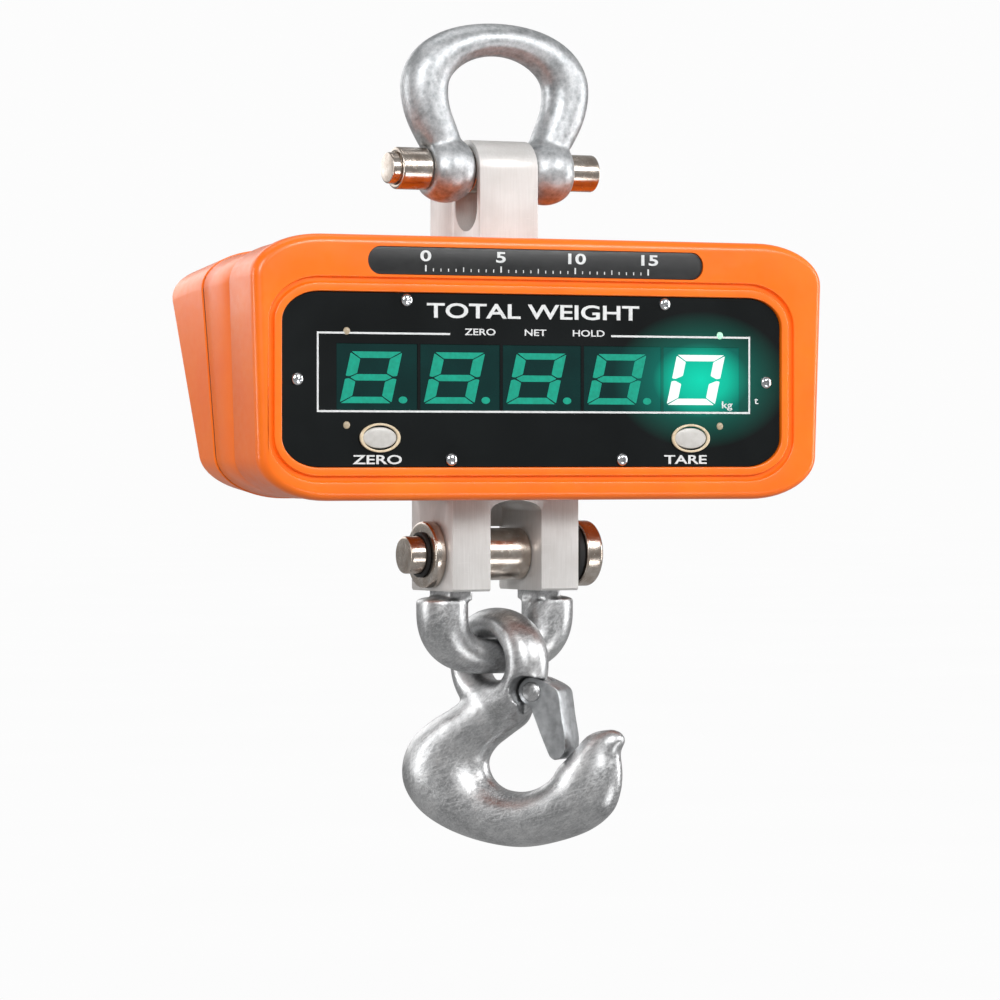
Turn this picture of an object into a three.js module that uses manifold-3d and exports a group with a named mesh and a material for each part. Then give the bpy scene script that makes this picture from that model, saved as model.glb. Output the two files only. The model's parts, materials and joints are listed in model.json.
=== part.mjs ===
// Crane scale: a display housing built round a load cell, hung from a bow shackle,
// with a link and a safety hook below.
// Millimetres. +Z is up, +X to the right of the display, +Y towards the back.
// The origin is the bearing point inside the crown of the shackle bow, where the scale hangs.

import * as THREE from 'three';
import { mergeVertices } from 'three/addons/utils/BufferGeometryUtils.js';
import Module from 'manifold-3d';

const wasm = await Module();
wasm.setup();

// ---- Driving dimensions ---------------------------------------------------------------

const gap = 0.3;                // between pieces that touch
const running = 0.4;            // round a pin that turns in its hole

// Load line
const bowInsideHeight = 102.9;  // upper pin axis up to the bow's bearing point
const pinSpacing = 344.7;       // upper pin axis down to the lower pin axis

// Bow shackle
const bowEyeX = 50.6;           // centre of each eye
const bowEyeRadius = 30;
const bowEyeHalfWidth = 19.9;
const bowWidestX = 71.7;        // centreline of the bow at its widest
const bowWidestHeight = 73;     // and its height above the upper pin
const bowCrownBar = 29.8;       // bar thickness at the crown
const bowSideBar = 45;          // bar thickness at the widest
const bowLegBar = 34;           // and just above the eyes
const bowLegHandle = 0.42;      // where the legs begin to spread, as a share of that height
const bowFlareHandle = 0.55;    // and where they are upright again
const bowDepthBar = 37;         // bar thickness front to back
const upperPinRadius = 14;
const upperHeadRadius = 16.7;
const upperHeadLength = 29;
const nutRadius = 18.9;
const nutLength = 30;
const upperStubLength = 8;      // pin showing past its nut

// Load cell
const lugHalfWidth = 29.3;
const lugHalfDepth = 27;
const sleeveWall = 6.2;
const pinFreedom = 34;          // how far the slot runs down below the upper pin
const blockHalfWidth = 63.5;
const blockHalfDepth = 40.3;
const blockBelowPin = 32.4;
const blockAboveHousing = 44;   // how far the block reaches up into the housing
const blockChamfer = 3;
const forkHalfWidth = 25.8;     // inverted-U slot between the ears
const forkSpringing = 38.7;     // where its arch starts, above the lower pin
const forkRise = 10.2;
const forkWebThickness = 6;     // web that closes the back of the slot above the spool
const pocketWall = 6.2;         // inner and outer walls of each ear
const pocketEndWall = 5;        // front and back walls of each ear
const gaugePocketRadius = 17;
const gaugePocketDepth = 8;
const gaugeBelowPin = 92;
const bracketDepth = 43.7;
const bracketBelowPin = 16.7;   // top of the bracket under the upper pin axis
const bracketHeight = 180;
const boltRadius = 6;

// Lower pin and what sits on it
const lowerPinRadius = 16.8;
const lowerStubLength = 15;
const washerRadius = 29.9;
const washerThickness = 10.7;
const ringThickness = 2.6;
const spacerRadius = 21.5;
const spacerThickness = 8.5;
const sealRadius = 27;
const sealThickness = 6.5;
const lowerHeadRadius = 29.7;
const lowerHeadLength = 18;
const spoolWall = 6.7;

// Link
const linkLegX = 53.5;
const linkLegRadius = 23.4;
const linkBarRadius = 15.5;
const linkBarBelowPin = 92;     // centre of the bar at the bottom of the bend
const linkStraightBelowPin = 50;
const linkBendPower = 2.6;      // 2 is an ellipse, more is squarer
const linkEyeRadius = 28;
const linkShoulderBelowPin = 35.2; // clears the block as the link swings
const linkShoulderRise = 4.6;

// Hook
const hookOffsetX = 2.5;        // where the eye rests along the bar
const hookTurn = -54;           // degrees, turn of the hook about the vertical
const eyeTwist = -23;           // degrees, eye against the hook's plane
const eyeHoleRadius = 22.5;
const eyeTopBar = 27;
const eyeSideBar = 30;          // side away from the latch
const eyeLatchBar = 36;         // side above the latch
const eyeFill = 7;              // flattens the hole below the link
const eyeHalfThickness = 20.5;
const eyeLift = 1.4;            // the eye beds on the bend's flanks, so its top stands clear
const latchPivot = [40.8, -25]; // in the hook's plane, from the centre of the eye
const latchSweep = 28;          // degrees that the latch opens
const latchPinRadius = 5;
const rivetRadius = 9;
const rivetHeight = 3.4;
const tongueHalfThickness = 10.4;
const tongueRadius = 13;
const cheekThickness = 4;
const latchPlay = 0.6;
const latchSpine = 3.6;

// Housing
const pinAboveHousing = 63.5;   // upper pin axis above the top of the housing
const pinBelowHousing = 49.2;   // lower pin axis below its bottom
const housingWidth = 576;       // at the top
const housingShift = 9;         // its middle stands this far right of the load line
const housingTaper = 16;        // narrower by this at the bottom
const cornerX = 68;
const cornerZ = 38;
const frontDepth = 82.6;        // load axis to the front face
const bandDepth = 57;           // front band, back to the start of the sunk channel
const seamTopDepth = 60;        // from there to the parting line, at the top
const seamBottomDepth = 36;     // and at the bottom
const edgeRounding = 8;
const flangeDepth = 13;         // raised rim round the front
const flangeStep = 1.6;
const channelDepth = 15;        // sunk band across the top, between rim and rear cover
const rearDraft = 5;
const topSlope = 0.085;         // fall of the top towards the back, behind the front rim
const rearRounding = 9;
const wall = 3.6;
const backWall = 6;
const frontWall = 10;
const gasketThickness = 1.2;
const gasketInset = 1.2;
const bodyClearance = 1.6;      // housing openings round the load cell
const backTopClearance = 50.7;  // bracket to the back wall, at the top
const backClearance = 3.7;      // the least clearance to the back wall
const bossRadius = 16;          // charging socket boss on the right side
const bossOut = 16.5;
const bossAbovePin = 86.4;
const bossDepth = 28;
const socketRadius = 13.5;

// Front panel
const panelSideMargin = 29;
const panelTopMargin = 50.3;
const panelBottomMargin = 29.4;
const panelCornerX = 36;
const panelCornerZ = 26;
const panelSunk = 3;
const panelThickness = 2.7;
const lipWidth = 8;
const grooveWidth = 5;
const grooveDepth = 3.5;
const ledgeSide = 20;
const ledgeTop = 16;
const ledgeBottom = 12;
const plateWidth = 337;
const plateHeight = 24;
const plateTopMargin = 10.3;
const plateSunk = 1;
const plateThickness = 1.6;

// Display
const digits = 5;
const digitsSideMargin = 46.5;  // panel edge to the outermost modules
const digitShift = 5;           // the display's middle stands this far right of the panel's
const moduleGap = 3.5;
const displayAboveBottom = 49;
const displayBelowTop = 45;
const boardBehindFront = 14.3;
const boardThickness = 1.6;
const buttonSideMargin = 94.5;  // panel edge to the middle of each button
const buttonAboveBottom = 25.5;
const buttonHalfWidth = 16.3;
const buttonHalfHeight = 9.2;
const buttonRim = 3.2;
const buttonTravel = 2;
const ledRadius = 3.2;
const ledSideMargin = 63;       // panel edge to the middle of each lamp
const ledBelowTop = 34;
const ledAboveBottom = 36.5;
const screwRadius = 5.6;
const screwShank = 2.6;
const screwInset = 6.4;
const topScrewX = 130;
const bottomScrewX = 86;
const sideScrewInset = 15;

// Inside and at the back
const chassisThickness = 3;
const chassisY = 4;
const flangeThickness = 5;
const batteryWidth = 96;
const batteryHeight = 78;
const batteryDepth = 54;
const batteryX = 150;
const doorMargin = 14;
const doorThickness = 2.8;
const doorLedge = 8;
const doorScrewRadius = 4.6;
const doorScrewHole = 2.4;
const coverScrewRadius = 5.5;
const coverScrewInsetX = 34;
const coverScrewInsetZ = 26;
const coverScrewLength = 15;

// ---- Places worked out from them ------------------------------------------------------

const upperPinZ = -bowInsideHeight;
const lowerPinZ = upperPinZ - pinSpacing;
const housingTop = upperPinZ - pinAboveHousing;
const housingBottom = lowerPinZ + pinBelowHousing;
const housingHeight = housingTop - housingBottom;
const frontY = -frontDepth;
const channelY = frontY + bandDepth;
const bracketFrontY = lugHalfDepth + gap;
const bracketBackY = bracketFrontY + bracketDepth;
const backTopY = bracketBackY + backTopClearance + backWall + gap;
const backBottomY = blockHalfDepth + backClearance + backWall;
const backTilt = Math.atan2(backTopY - backBottomY, housingHeight);
const halfSeam = gasketThickness / 2 + gap;
const slotRadius = upperPinRadius + running + sleeveWall + running;
const panelBottom = housingBottom + panelBottomMargin;
const panelTop = housingTop - panelTopMargin;
const panelHalfWidth = (housingWidth - housingTaper) / 2 - panelSideMargin;
const panelY = frontY + panelSunk;
const panelBackY = panelY + panelThickness;
const boardY = frontY + boardBehindFront;
const buttonX = panelHalfWidth - buttonSideMargin;
const ledX = panelHalfWidth - ledSideMargin;
const eyeZ = lowerPinZ - linkBarBelowPin + linkBarRadius + eyeLift - eyeHoleRadius;

// ---- Materials ------------------------------------------------------------------------

const finish = (color, roughness, metalness) =>
  new THREE.MeshStandardMaterial({ color, roughness, metalness });

const galvanised = finish(0xa4a7aa, 0.45, 0.9);
const forged = finish(0xa9abad, 0.38, 0.95);
const turned = finish(0xb4a796, 0.25, 1.0);
const machined = finish(0xdcd8d4, 0.4, 0.85);
const orange = finish(0xf9761a, 0.35, 0.0);
const blackPanel = finish(0x14191b, 0.2, 0.0);
const plateBlack = finish(0x2a2b2c, 0.4, 0.0);
const rubber = finish(0x1b1b1b, 0.8, 0.0);
const chrome = finish(0xd6d8da, 0.12, 1.0);
const segmentGreen = finish(0x013c38, 0.3, 0.0);
const boardGreen = finish(0x1f5a35, 0.6, 0.0);
const capGrey = finish(0xdedbd7, 0.4, 0.0);
const rimCream = finish(0xbaad99, 0.3, 0.6);
const ledGreen = finish(0x28e07a, 0.3, 0.0);
const ledCream = finish(0xefe3c4, 0.3, 0.0);
const zincPlate = finish(0xb9bcbf, 0.45, 0.9);
const batteryGrey = finish(0x3b3e42, 0.6, 0.0);

// ---- Solids ---------------------------------------------------------------------------

// A closed geometry as a solid that can be cut and joined, turned outwards if need be.
function solid(geometry) {
  const bare = new THREE.BufferGeometry();
  bare.setAttribute('position', geometry.getAttribute('position'));
  bare.setIndex(geometry.getIndex());
  const merged = mergeVertices(bare, 1e-3);
  const triVerts = new Uint32Array(merged.index.array);
  const vertProperties = new Float32Array(merged.getAttribute('position').array);
  const made = new wasm.Manifold(new wasm.Mesh({ numProp: 3, vertProperties, triVerts }));
  if (made.volume() > 0) return made;
  for (let i = 0; i < triVerts.length; i += 3) {
    [triVerts[i + 1], triVerts[i + 2]] = [triVerts[i + 2], triVerts[i + 1]];
  }
  return new wasm.Manifold(new wasm.Mesh({ numProp: 3, vertProperties, triVerts }));
}

const root = new THREE.Group();

// Adds a solid to a group as a named mesh.
function place(name, shape, material, group = root) {
  const made = shape.getMesh();
  const geometry = new THREE.BufferGeometry();
  geometry.setAttribute('position', new THREE.BufferAttribute(made.vertProperties, 3));
  geometry.setIndex(new THREE.BufferAttribute(made.triVerts, 1));
  geometry.computeVertexNormals();
  const mesh = new THREE.Mesh(geometry, material);
  mesh.name = name;
  group.add(mesh);
}

function box(x0, x1, y0, y1, z0, z1) {
  const geometry = new THREE.BoxGeometry(x1 - x0, y1 - y0, z1 - z0);
  return solid(geometry.translate((x0 + x1) / 2, (y0 + y1) / 2, (z0 + z1) / 2));
}

// A round bar along X from x0 to x1.
function rodX(radius, x0, x1, y, z, sides = 28) {
  const geometry = new THREE.CylinderGeometry(radius, radius, x1 - x0, sides);
  return solid(geometry.rotateZ(Math.PI / 2).translate((x0 + x1) / 2, y, z));
}

// A round bar along Y from y0 to y1.
function rodY(radius, y0, y1, x, z, sides = 20) {
  const geometry = new THREE.CylinderGeometry(radius, radius, y1 - y0, sides);
  return solid(geometry.translate(x, (y0 + y1) / 2, z));
}

// A turned piece on the X axis; the profile's points are [x, radius].
function turnedX(profile, y, z, sides = 24) {
  const points = profile.map(([x, radius]) => new THREE.Vector2(radius, x));
  const geometry = new THREE.LatheGeometry(points, sides);
  return solid(geometry.rotateZ(-Math.PI / 2).translate(0, y, z));
}

// A turned piece on an axis along Y; the profile's points are [y, radius].
function turnedY(profile, x, z, sides = 16) {
  const points = profile.map(([y, radius]) => new THREE.Vector2(radius, y));
  return solid(new THREE.LatheGeometry(points, sides).translate(x, 0, z));
}

// An outline in X and Z, extruded from y0 to y1.
function slabY(shape, y0, y1, curveSegments = 6) {
  const options = { depth: y1 - y0, bevelEnabled: false, curveSegments };
  const geometry = new THREE.ExtrudeGeometry(shape, options);
  return solid(geometry.rotateX(Math.PI / 2).translate(0, y1, 0));
}

// An outline in Y and Z, extruded from x0 to x1.
function slabX(shape, x0, x1, curveSegments = 14) {
  const options = { depth: x1 - x0, bevelEnabled: false, curveSegments };
  const geometry = new THREE.ExtrudeGeometry(shape, options);
  const alongX = new THREE.Matrix4().makeBasis(
    new THREE.Vector3(0, 1, 0),
    new THREE.Vector3(0, 0, 1),
    new THREE.Vector3(1, 0, 0),
  );
  return solid(geometry.applyMatrix4(alongX).translate(x0, 0, 0));
}

// A rectangle with elliptical corners, centred on (x, z).
function roundedRectangle(width, height, radiusX, radiusZ, x = 0, z = 0) {
  const shape = new THREE.Shape();
  const [left, right] = [x - width / 2, x + width / 2];
  const [low, high] = [z - height / 2, z + height / 2];
  shape.moveTo(left + radiusX, low);
  shape.lineTo(right - radiusX, low);
  shape.absellipse(right - radiusX, low + radiusZ, radiusX, radiusZ, -Math.PI / 2, 0);
  shape.lineTo(right, high - radiusZ);
  shape.absellipse(right - radiusX, high - radiusZ, radiusX, radiusZ, 0, Math.PI / 2);
  shape.lineTo(left + radiusX, high);
  shape.absellipse(left + radiusX, high - radiusZ, radiusX, radiusZ, Math.PI / 2, Math.PI);
  shape.lineTo(left, low + radiusZ);
  shape.absellipse(left + radiusX, low + radiusZ, radiusX, radiusZ, Math.PI, Math.PI * 1.5);
  return shape;
}

// A solid through a row of rings with the same number of points each.
// Its ends are capped, or joined to each other when it closes on itself.
function loft(rings, closes = false) {
  const count = rings[0].length;
  const points = rings.flat();
  const faces = [];
  const spans = closes ? rings.length : rings.length - 1;
  for (let i = 0; i < spans; i += 1) {
    const here = i * count;
    const there = ((i + 1) % rings.length) * count;
    for (let j = 0; j < count; j += 1) {
      const next = (j + 1) % count;
      faces.push(here + j, here + next, there + next);
      faces.push(here + j, there + next, there + j);
    }
  }
  if (!closes) {
    const last = (rings.length - 1) * count;
    for (let j = 1; j < count - 1; j += 1) {
      faces.push(0, j + 1, j);
      faces.push(last, last + j, last + j + 1);
    }
  }
  const geometry = new THREE.BufferGeometry().setFromPoints(points);
  geometry.setIndex(faces);
  return solid(geometry);
}

// The ring of an elliptical bar: centre, and its two half axes as vectors.
function barRing(centre, halfAcross, halfThrough, sides) {
  const ring = [];
  for (let i = 0; i < sides; i += 1) {
    const angle = (2 * Math.PI * i) / sides;
    const point = centre.clone().addScaledVector(halfAcross, Math.cos(angle));
    ring.push(point.addScaledVector(halfThrough, Math.sin(angle)));
  }
  return ring;
}

// A bar along a symmetrical bend in the X-Z plane. rightHalf(t) gives the right half from
// its end, t = 0, to the middle, t = 1, as [x, z, half thickness across, half through].
function bend(rightHalf, steps, sides) {
  const stations = [];
  for (let i = 0; i <= steps; i += 1) stations.push(rightHalf(i / steps));
  for (let i = steps - 1; i >= 0; i -= 1) {
    const [x, z, across, through] = stations[i];
    stations.push([-x, z, across, through]);
  }
  const last = stations.length - 1;
  const rings = stations.map(([x, z, across, through], i) => {
    const before = stations[Math.max(i - 1, 0)];
    const after = stations[Math.min(i + 1, last)];
    const along = new THREE.Vector3(after[0] - before[0], 0, after[1] - before[1]).normalize();
    const outward = new THREE.Vector3(along.z, 0, -along.x).multiplyScalar(across);
    return barRing(new THREE.Vector3(x, 0, z), outward, new THREE.Vector3(0, through, 0), sides);
  });
  return loft(rings);
}

const blend = (from, to, share) => from + (to - from) * share;

// ---- Bow shackle ----------------------------------------------------------------------

function bowShackle() {
  const straight = new THREE.CubicBezierCurve(
    new THREE.Vector2(bowEyeX, 0),
    new THREE.Vector2(bowEyeX, bowWidestHeight * bowLegHandle),
    new THREE.Vector2(bowWidestX, bowWidestHeight * bowFlareHandle),
    new THREE.Vector2(bowWidestX, bowWidestHeight),
  );
  const legShare = 0.42;
  const crownHeight = bowInsideHeight + bowCrownBar / 2;
  const halfBow = (t) => {
    if (t < legShare) {
      const share = t / legShare;
      const point = straight.getPoint(share);
      const through = bowDepthBar / 2;
      return [point.x, point.y + upperPinZ, blend(bowLegBar, bowSideBar, share) / 2, through];
    }
    const angle = ((t - legShare) / (1 - legShare)) * (Math.PI / 2);
    const x = bowWidestX * Math.cos(angle);
    const z = blend(bowWidestHeight, crownHeight, Math.sin(angle));
    const across = blend(bowCrownBar, bowSideBar, Math.cos(angle) ** 2) / 2;
    return [x, z + upperPinZ, across, bowDepthBar / 2];
  };
  let bow = bend(halfBow, 18, 16);
  for (const side of [-1, 1]) {
    const eye = [[-bowEyeHalfWidth, 0]];
    const faces = 5;
    for (let i = 0; i <= faces; i += 1) {
      const x = blend(-bowEyeHalfWidth, bowEyeHalfWidth, i / faces);
      eye.push([x, Math.sqrt(bowEyeRadius ** 2 - x ** 2)]);
    }
    eye.push([bowEyeHalfWidth, 0]);
    const placed = eye.map(([x, radius]) => [x + side * bowEyeX, radius]);
    bow = bow.add(turnedX(placed, 0, upperPinZ));
  }
  const outside = bowEyeX + bowEyeHalfWidth;
  const inside = bowEyeX - bowEyeHalfWidth;
  const between = box(-inside, inside, -bowEyeRadius, bowEyeRadius,
    upperPinZ - bowEyeRadius, upperPinZ + bowEyeRadius);
  bow = bow.subtract(between);
  const seatHalf = nutRadius + 2;
  for (const side of [-1, 1]) {
    const [x0, x1] = side > 0 ? [outside, 2 * outside] : [-2 * outside, -outside];
    bow = bow.subtract(box(x0, x1, -bowDepthBar, bowDepthBar,
      upperPinZ - seatHalf, upperPinZ + seatHalf));
  }
  bow = bow.subtract(rodX(upperPinRadius + gap, -2 * outside, 2 * outside, 0, upperPinZ));
  place('shackle_bow', bow, galvanised);

  const nutEnd = -outside - gap - nutLength;
  const pin = turnedX([
    [nutEnd - upperStubLength, 0],
    [nutEnd - upperStubLength, upperPinRadius - 1.5],
    [nutEnd - upperStubLength + 1.5, upperPinRadius],
    [outside + gap, upperPinRadius],
    [outside + gap, upperHeadRadius - 1],
    [outside + gap + 1, upperHeadRadius],
    [outside + gap + upperHeadLength - 3, upperHeadRadius],
    [outside + gap + upperHeadLength, upperHeadRadius - 3],
    [outside + gap + upperHeadLength, 0],
  ], 0, upperPinZ);
  place('shackle_pin', pin, turned);

  const nut = turnedX([
    [nutEnd, upperPinRadius + gap],
    [nutEnd, nutRadius - 2],
    [nutEnd + 2, nutRadius],
    [nutEnd + nutLength - 1, nutRadius],
    [nutEnd + nutLength, nutRadius - 1],
    [nutEnd + nutLength, upperPinRadius + gap],
    [nutEnd, upperPinRadius + gap],
  ], 0, upperPinZ);
  place('shackle_nut', nut, turned);
}

// ---- Load cell ------------------------------------------------------------------------

function tube(outer, inner, x0, x1, z, edge = 1) {
  return turnedX([
    [x0, inner],
    [x0, outer - edge],
    [x0 + edge, outer],
    [x1 - edge, outer],
    [x1, outer - edge],
    [x1, inner],
    [x0, inner],
  ], 0, z);
}

function lugOutline(bottom) {
  const shape = new THREE.Shape();
  shape.moveTo(-lugHalfDepth, bottom);
  shape.lineTo(lugHalfDepth, bottom);
  shape.lineTo(lugHalfDepth, upperPinZ);
  shape.absarc(0, upperPinZ, lugHalfDepth, 0, Math.PI);
  return shape;
}

function slotOutline() {
  const shape = new THREE.Shape();
  const low = upperPinZ - pinFreedom;
  shape.moveTo(slotRadius, low);
  shape.lineTo(slotRadius, upperPinZ);
  shape.absarc(0, upperPinZ, slotRadius, 0, Math.PI);
  shape.lineTo(-slotRadius, low);
  shape.absarc(0, low, slotRadius, Math.PI, 2 * Math.PI);
  return shape;
}

function forkOutline(halfWidth) {
  const shape = new THREE.Shape();
  const springing = lowerPinZ + forkSpringing;
  const below = lowerPinZ - blockBelowPin - 1;
  shape.moveTo(-halfWidth, below);
  shape.lineTo(halfWidth, below);
  shape.lineTo(halfWidth, springing);
  shape.absellipse(0, springing, halfWidth, forkRise, 0, Math.PI);
  return shape;
}

function blockOutline() {
  const low = lowerPinZ - blockBelowPin;
  const high = housingBottom + blockAboveHousing;
  const shape = new THREE.Shape();
  shape.moveTo(-blockHalfDepth + blockChamfer, low);
  shape.lineTo(blockHalfDepth - blockChamfer, low);
  shape.lineTo(blockHalfDepth, low + blockChamfer);
  shape.lineTo(blockHalfDepth, high);
  shape.lineTo(-blockHalfDepth, high);
  shape.lineTo(-blockHalfDepth, low + blockChamfer);
  return shape;
}

const earInside = forkHalfWidth + pocketWall;
const earOutside = blockHalfWidth - pocketWall;
const pocketHalfDepth = blockHalfDepth - pocketEndWall;
const chassisHeight = housingHeight - 100;
const chassisZ = housingBottom + blockAboveHousing + 12 + chassisHeight / 2;
const gaugeZ = upperPinZ - gaugeBelowPin;
const boltZ = upperPinZ - bracketBelowPin - bracketHeight + 30;

function loadCell() {
  let cell = slabX(lugOutline(housingBottom + 10), -lugHalfWidth, lugHalfWidth);
  cell = cell.add(slabX(blockOutline(), -blockHalfWidth, blockHalfWidth));
  cell = cell.subtract(slabX(slotOutline(), -blockHalfWidth, blockHalfWidth));
  const back = blockHalfDepth + 1;
  const web = blockHalfDepth - forkWebThickness;
  const spoolTop = lowerPinZ + lowerPinRadius + spoolWall + 1;
  cell = cell.subtract(slabY(forkOutline(forkHalfWidth), -back, web));
  cell = cell.subtract(box(-forkHalfWidth, forkHalfWidth, 0, back,
    lowerPinZ - blockBelowPin - 1, spoolTop));
  for (const side of [-1, 1]) {
    const [x0, x1] = side > 0 ? [earInside, earOutside] : [-earOutside, -earInside];
    cell = cell.subtract(box(x0, x1, -pocketHalfDepth, pocketHalfDepth,
      lowerPinZ - blockBelowPin - 1, lowerPinZ + linkEyeRadius + 4));
    const outer = side * lugHalfWidth;
    const inner = side * (lugHalfWidth - gaugePocketDepth);
    const [g0, g1] = side > 0 ? [inner, outer + 1] : [outer - 1, inner];
    cell = cell.subtract(rodX(gaugePocketRadius, g0, g1, 0, gaugeZ));
  }
  cell = cell.subtract(rodX(lowerPinRadius + running, -90, 90, 0, lowerPinZ));
  cell = cell.subtract(rodY(boltRadius + gap, lugHalfDepth - 20, lugHalfDepth + 1, 0, boltZ));
  place('load_cell', cell, machined);

  for (const [name, side] of [['gauge_cover_left', -1], ['gauge_cover_right', 1]]) {
    const outer = side * (lugHalfWidth - gap);
    const inner = side * (lugHalfWidth - gap - 3);
    const cover = rodX(gaugePocketRadius - gap, Math.min(inner, outer),
      Math.max(inner, outer), 0, gaugeZ, 24);
    place(name, cover, machined);
  }
  const sleeve = tube(upperPinRadius + running + sleeveWall, upperPinRadius + running,
    -lugHalfWidth, lugHalfWidth, upperPinZ);
  place('pin_sleeve', sleeve, turned);
}

// The bracket bolted behind the load cell, which carries the back of the housing.
function bracket() {
  const top = upperPinZ - bracketBelowPin;
  const bottom = top - bracketHeight;
  const edge = 6;
  const wallAt = (z) => backTopY - backWall - Math.max(housingTop - z, 0) * Math.tan(backTilt);
  const backAt = (z) => Math.min(bracketBackY, wallAt(z) - backClearance);
  const shape = new THREE.Shape();
  shape.moveTo(bracketFrontY, bottom);
  shape.lineTo(backAt(bottom), bottom);
  shape.lineTo(backAt(housingTop), housingTop);
  shape.lineTo(bracketBackY, top - edge);
  shape.lineTo(bracketBackY - edge, top);
  shape.lineTo(bracketFrontY, top);
  const hole = rodY(boltRadius + gap, bracketFrontY - 1, bracketBackY + 1, 0, boltZ);
  const seat = backAt(boltZ) - 9;
  const sink = rodY(boltRadius * 1.7, seat, bracketBackY + 1, 0, boltZ);
  const made = slabX(shape, -lugHalfWidth, lugHalfWidth);
  place('suspension_bracket', made.subtract(hole).subtract(sink), machined);

  const bolt = turnedY([
    [lugHalfDepth - 18, 0],
    [lugHalfDepth - 18, boltRadius],
    [seat + gap, boltRadius],
    [seat + gap, boltRadius * 1.6],
    [seat + 6, boltRadius * 1.6],
    [seat + 6, 0],
  ], 0, boltZ);
  place('bracket_bolt', bolt, zincPlate);
}

// ---- Lower pin ------------------------------------------------------------------------

function lowerPin() {
  const bore = lowerPinRadius + running;
  const face = blockHalfWidth + gap;
  const washerEnd = -face - washerThickness;
  const ringEnd = washerEnd - gap - ringThickness;
  place('pin_washer', tube(washerRadius, bore, washerEnd, -face, lowerPinZ, 2), turned);
  place('pin_retaining_ring',
    tube(lowerPinRadius + 3.5, bore, ringEnd, washerEnd - gap, lowerPinZ, 0.6), rubber);

  const sealStart = face + spacerThickness + gap;
  const headStart = sealStart + sealThickness + gap;
  place('pin_spacer', tube(spacerRadius, bore, face, sealStart - gap, lowerPinZ), turned);
  place('pin_seal_ring', tube(sealRadius, bore, sealStart, headStart - gap, lowerPinZ, 2), rubber);

  const spoolHalf = forkHalfWidth - gap;
  const spool = tube(lowerPinRadius + spoolWall, bore, -spoolHalf, spoolHalf, lowerPinZ, 2.5);
  place('clevis_spool', spool, turned);

  const pin = turnedX([
    [ringEnd - lowerStubLength, 0],
    [ringEnd - lowerStubLength, lowerPinRadius - 1],
    [ringEnd - lowerStubLength + 1, lowerPinRadius],
    [headStart, lowerPinRadius],
    [headStart, lowerHeadRadius - 3],
    [headStart + 3, lowerHeadRadius],
    [headStart + lowerHeadLength - 4, lowerHeadRadius],
    [headStart + lowerHeadLength, lowerHeadRadius - 5],
    [headStart + lowerHeadLength, 0],
  ], 0, lowerPinZ);
  place('clevis_pin', pin, turned);
}

// ---- Link -----------------------------------------------------------------------------

function link() {
  const shoulderShare = 0.16;
  const straightShare = 0.3;
  const halfLink = (t) => {
    if (t < shoulderShare) {
      const angle = (t / shoulderShare) * (Math.PI / 2);
      const radius = Math.max(linkLegRadius * Math.sin(angle), 3);
      const below = linkShoulderBelowPin + linkShoulderRise * (1 - Math.cos(angle));
      return [linkLegX, lowerPinZ - below, radius, radius];
    }
    if (t < straightShare) {
      const share = (t - shoulderShare) / (straightShare - shoulderShare);
      const below = blend(linkShoulderBelowPin + linkShoulderRise, linkStraightBelowPin, share);
      return [linkLegX, lowerPinZ - below, linkLegRadius, linkLegRadius];
    }
    const angle = ((t - straightShare) / (1 - straightShare)) * (Math.PI / 2);
    const power = 2 / linkBendPower;
    const x = linkLegX * Math.max(Math.cos(angle), 0) ** power;
    const below = blend(linkStraightBelowPin, linkBarBelowPin, Math.sin(angle) ** power);
    const radius = blend(linkBarRadius, linkLegRadius, Math.cos(angle) ** 1.5);
    return [x, lowerPinZ - below, radius, radius];
  };
  let made = bend(halfLink, 16, 16);
  const stem = linkLegRadius - 3;
  for (const side of [-1, 1]) {
    const [x0, x1] = side > 0
      ? [earInside + 1, earOutside - 1]
      : [-earOutside + 1, -earInside - 1];
    const eye = rodX(linkEyeRadius, x0, x1, 0, lowerPinZ);
    const neck = box(x0, x1, -stem, stem, lowerPinZ - linkStraightBelowPin, lowerPinZ);
    made = made.add(eye).add(neck);
  }
  const hole = rodX(lowerPinRadius + running, -blockHalfWidth, blockHalfWidth, 0, lowerPinZ);
  place('u_link', made.subtract(hole), forged);
}

// ---- Hook -----------------------------------------------------------------------------

const hookGroup = new THREE.Group();
hookGroup.position.set(hookOffsetX, 0, eyeZ);
hookGroup.rotation.z = THREE.MathUtils.degToRad(hookTurn);
root.add(hookGroup);

// Sections of the hook in its own plane, from the neck round to the tip: a point on the
// outer side, the point across from it on the inner side, and half the thickness there.
const hookSections = [
  [[-36, -27], [36, -27], 16],
  [[-35, -34], [36, -37], 18.5],
  [[-46, -42.5], [30, -52.5], 20.5],
  [[-65, -53.5], [14, -64.5], 22],
  [[-84, -69.5], [-2, -76.5], 23.5],
  [[-94, -91.5], [-9.5, -88.5], 25],
  [[-92, -114.5], [-8, -99.5], 26],
  [[-75, -136.5], [-2, -108], 26],
  [[-46, -152.5], [7, -113.5], 26],
  [[-10, -162.5], [17, -115.5], 26],
  [[26, -165.5], [27, -115.5], 26],
  [[60, -159.5], [38, -113], 25],
  [[92, -148], [48, -108], 24],
  [[113, -131.5], [56, -101.5], 22.5],
  [[121, -112.5], [61, -93], 21],
  [[122.5, -94.5], [69, -85.5], 19],
  [[121, -78.5], [78, -76.5], 16],
  [[126, -67.5], [89, -64.5], 12],
  [[122, -60.5], [100, -59.5], 8],
  [[114, -57.5], [110, -58], 3],
];

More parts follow.
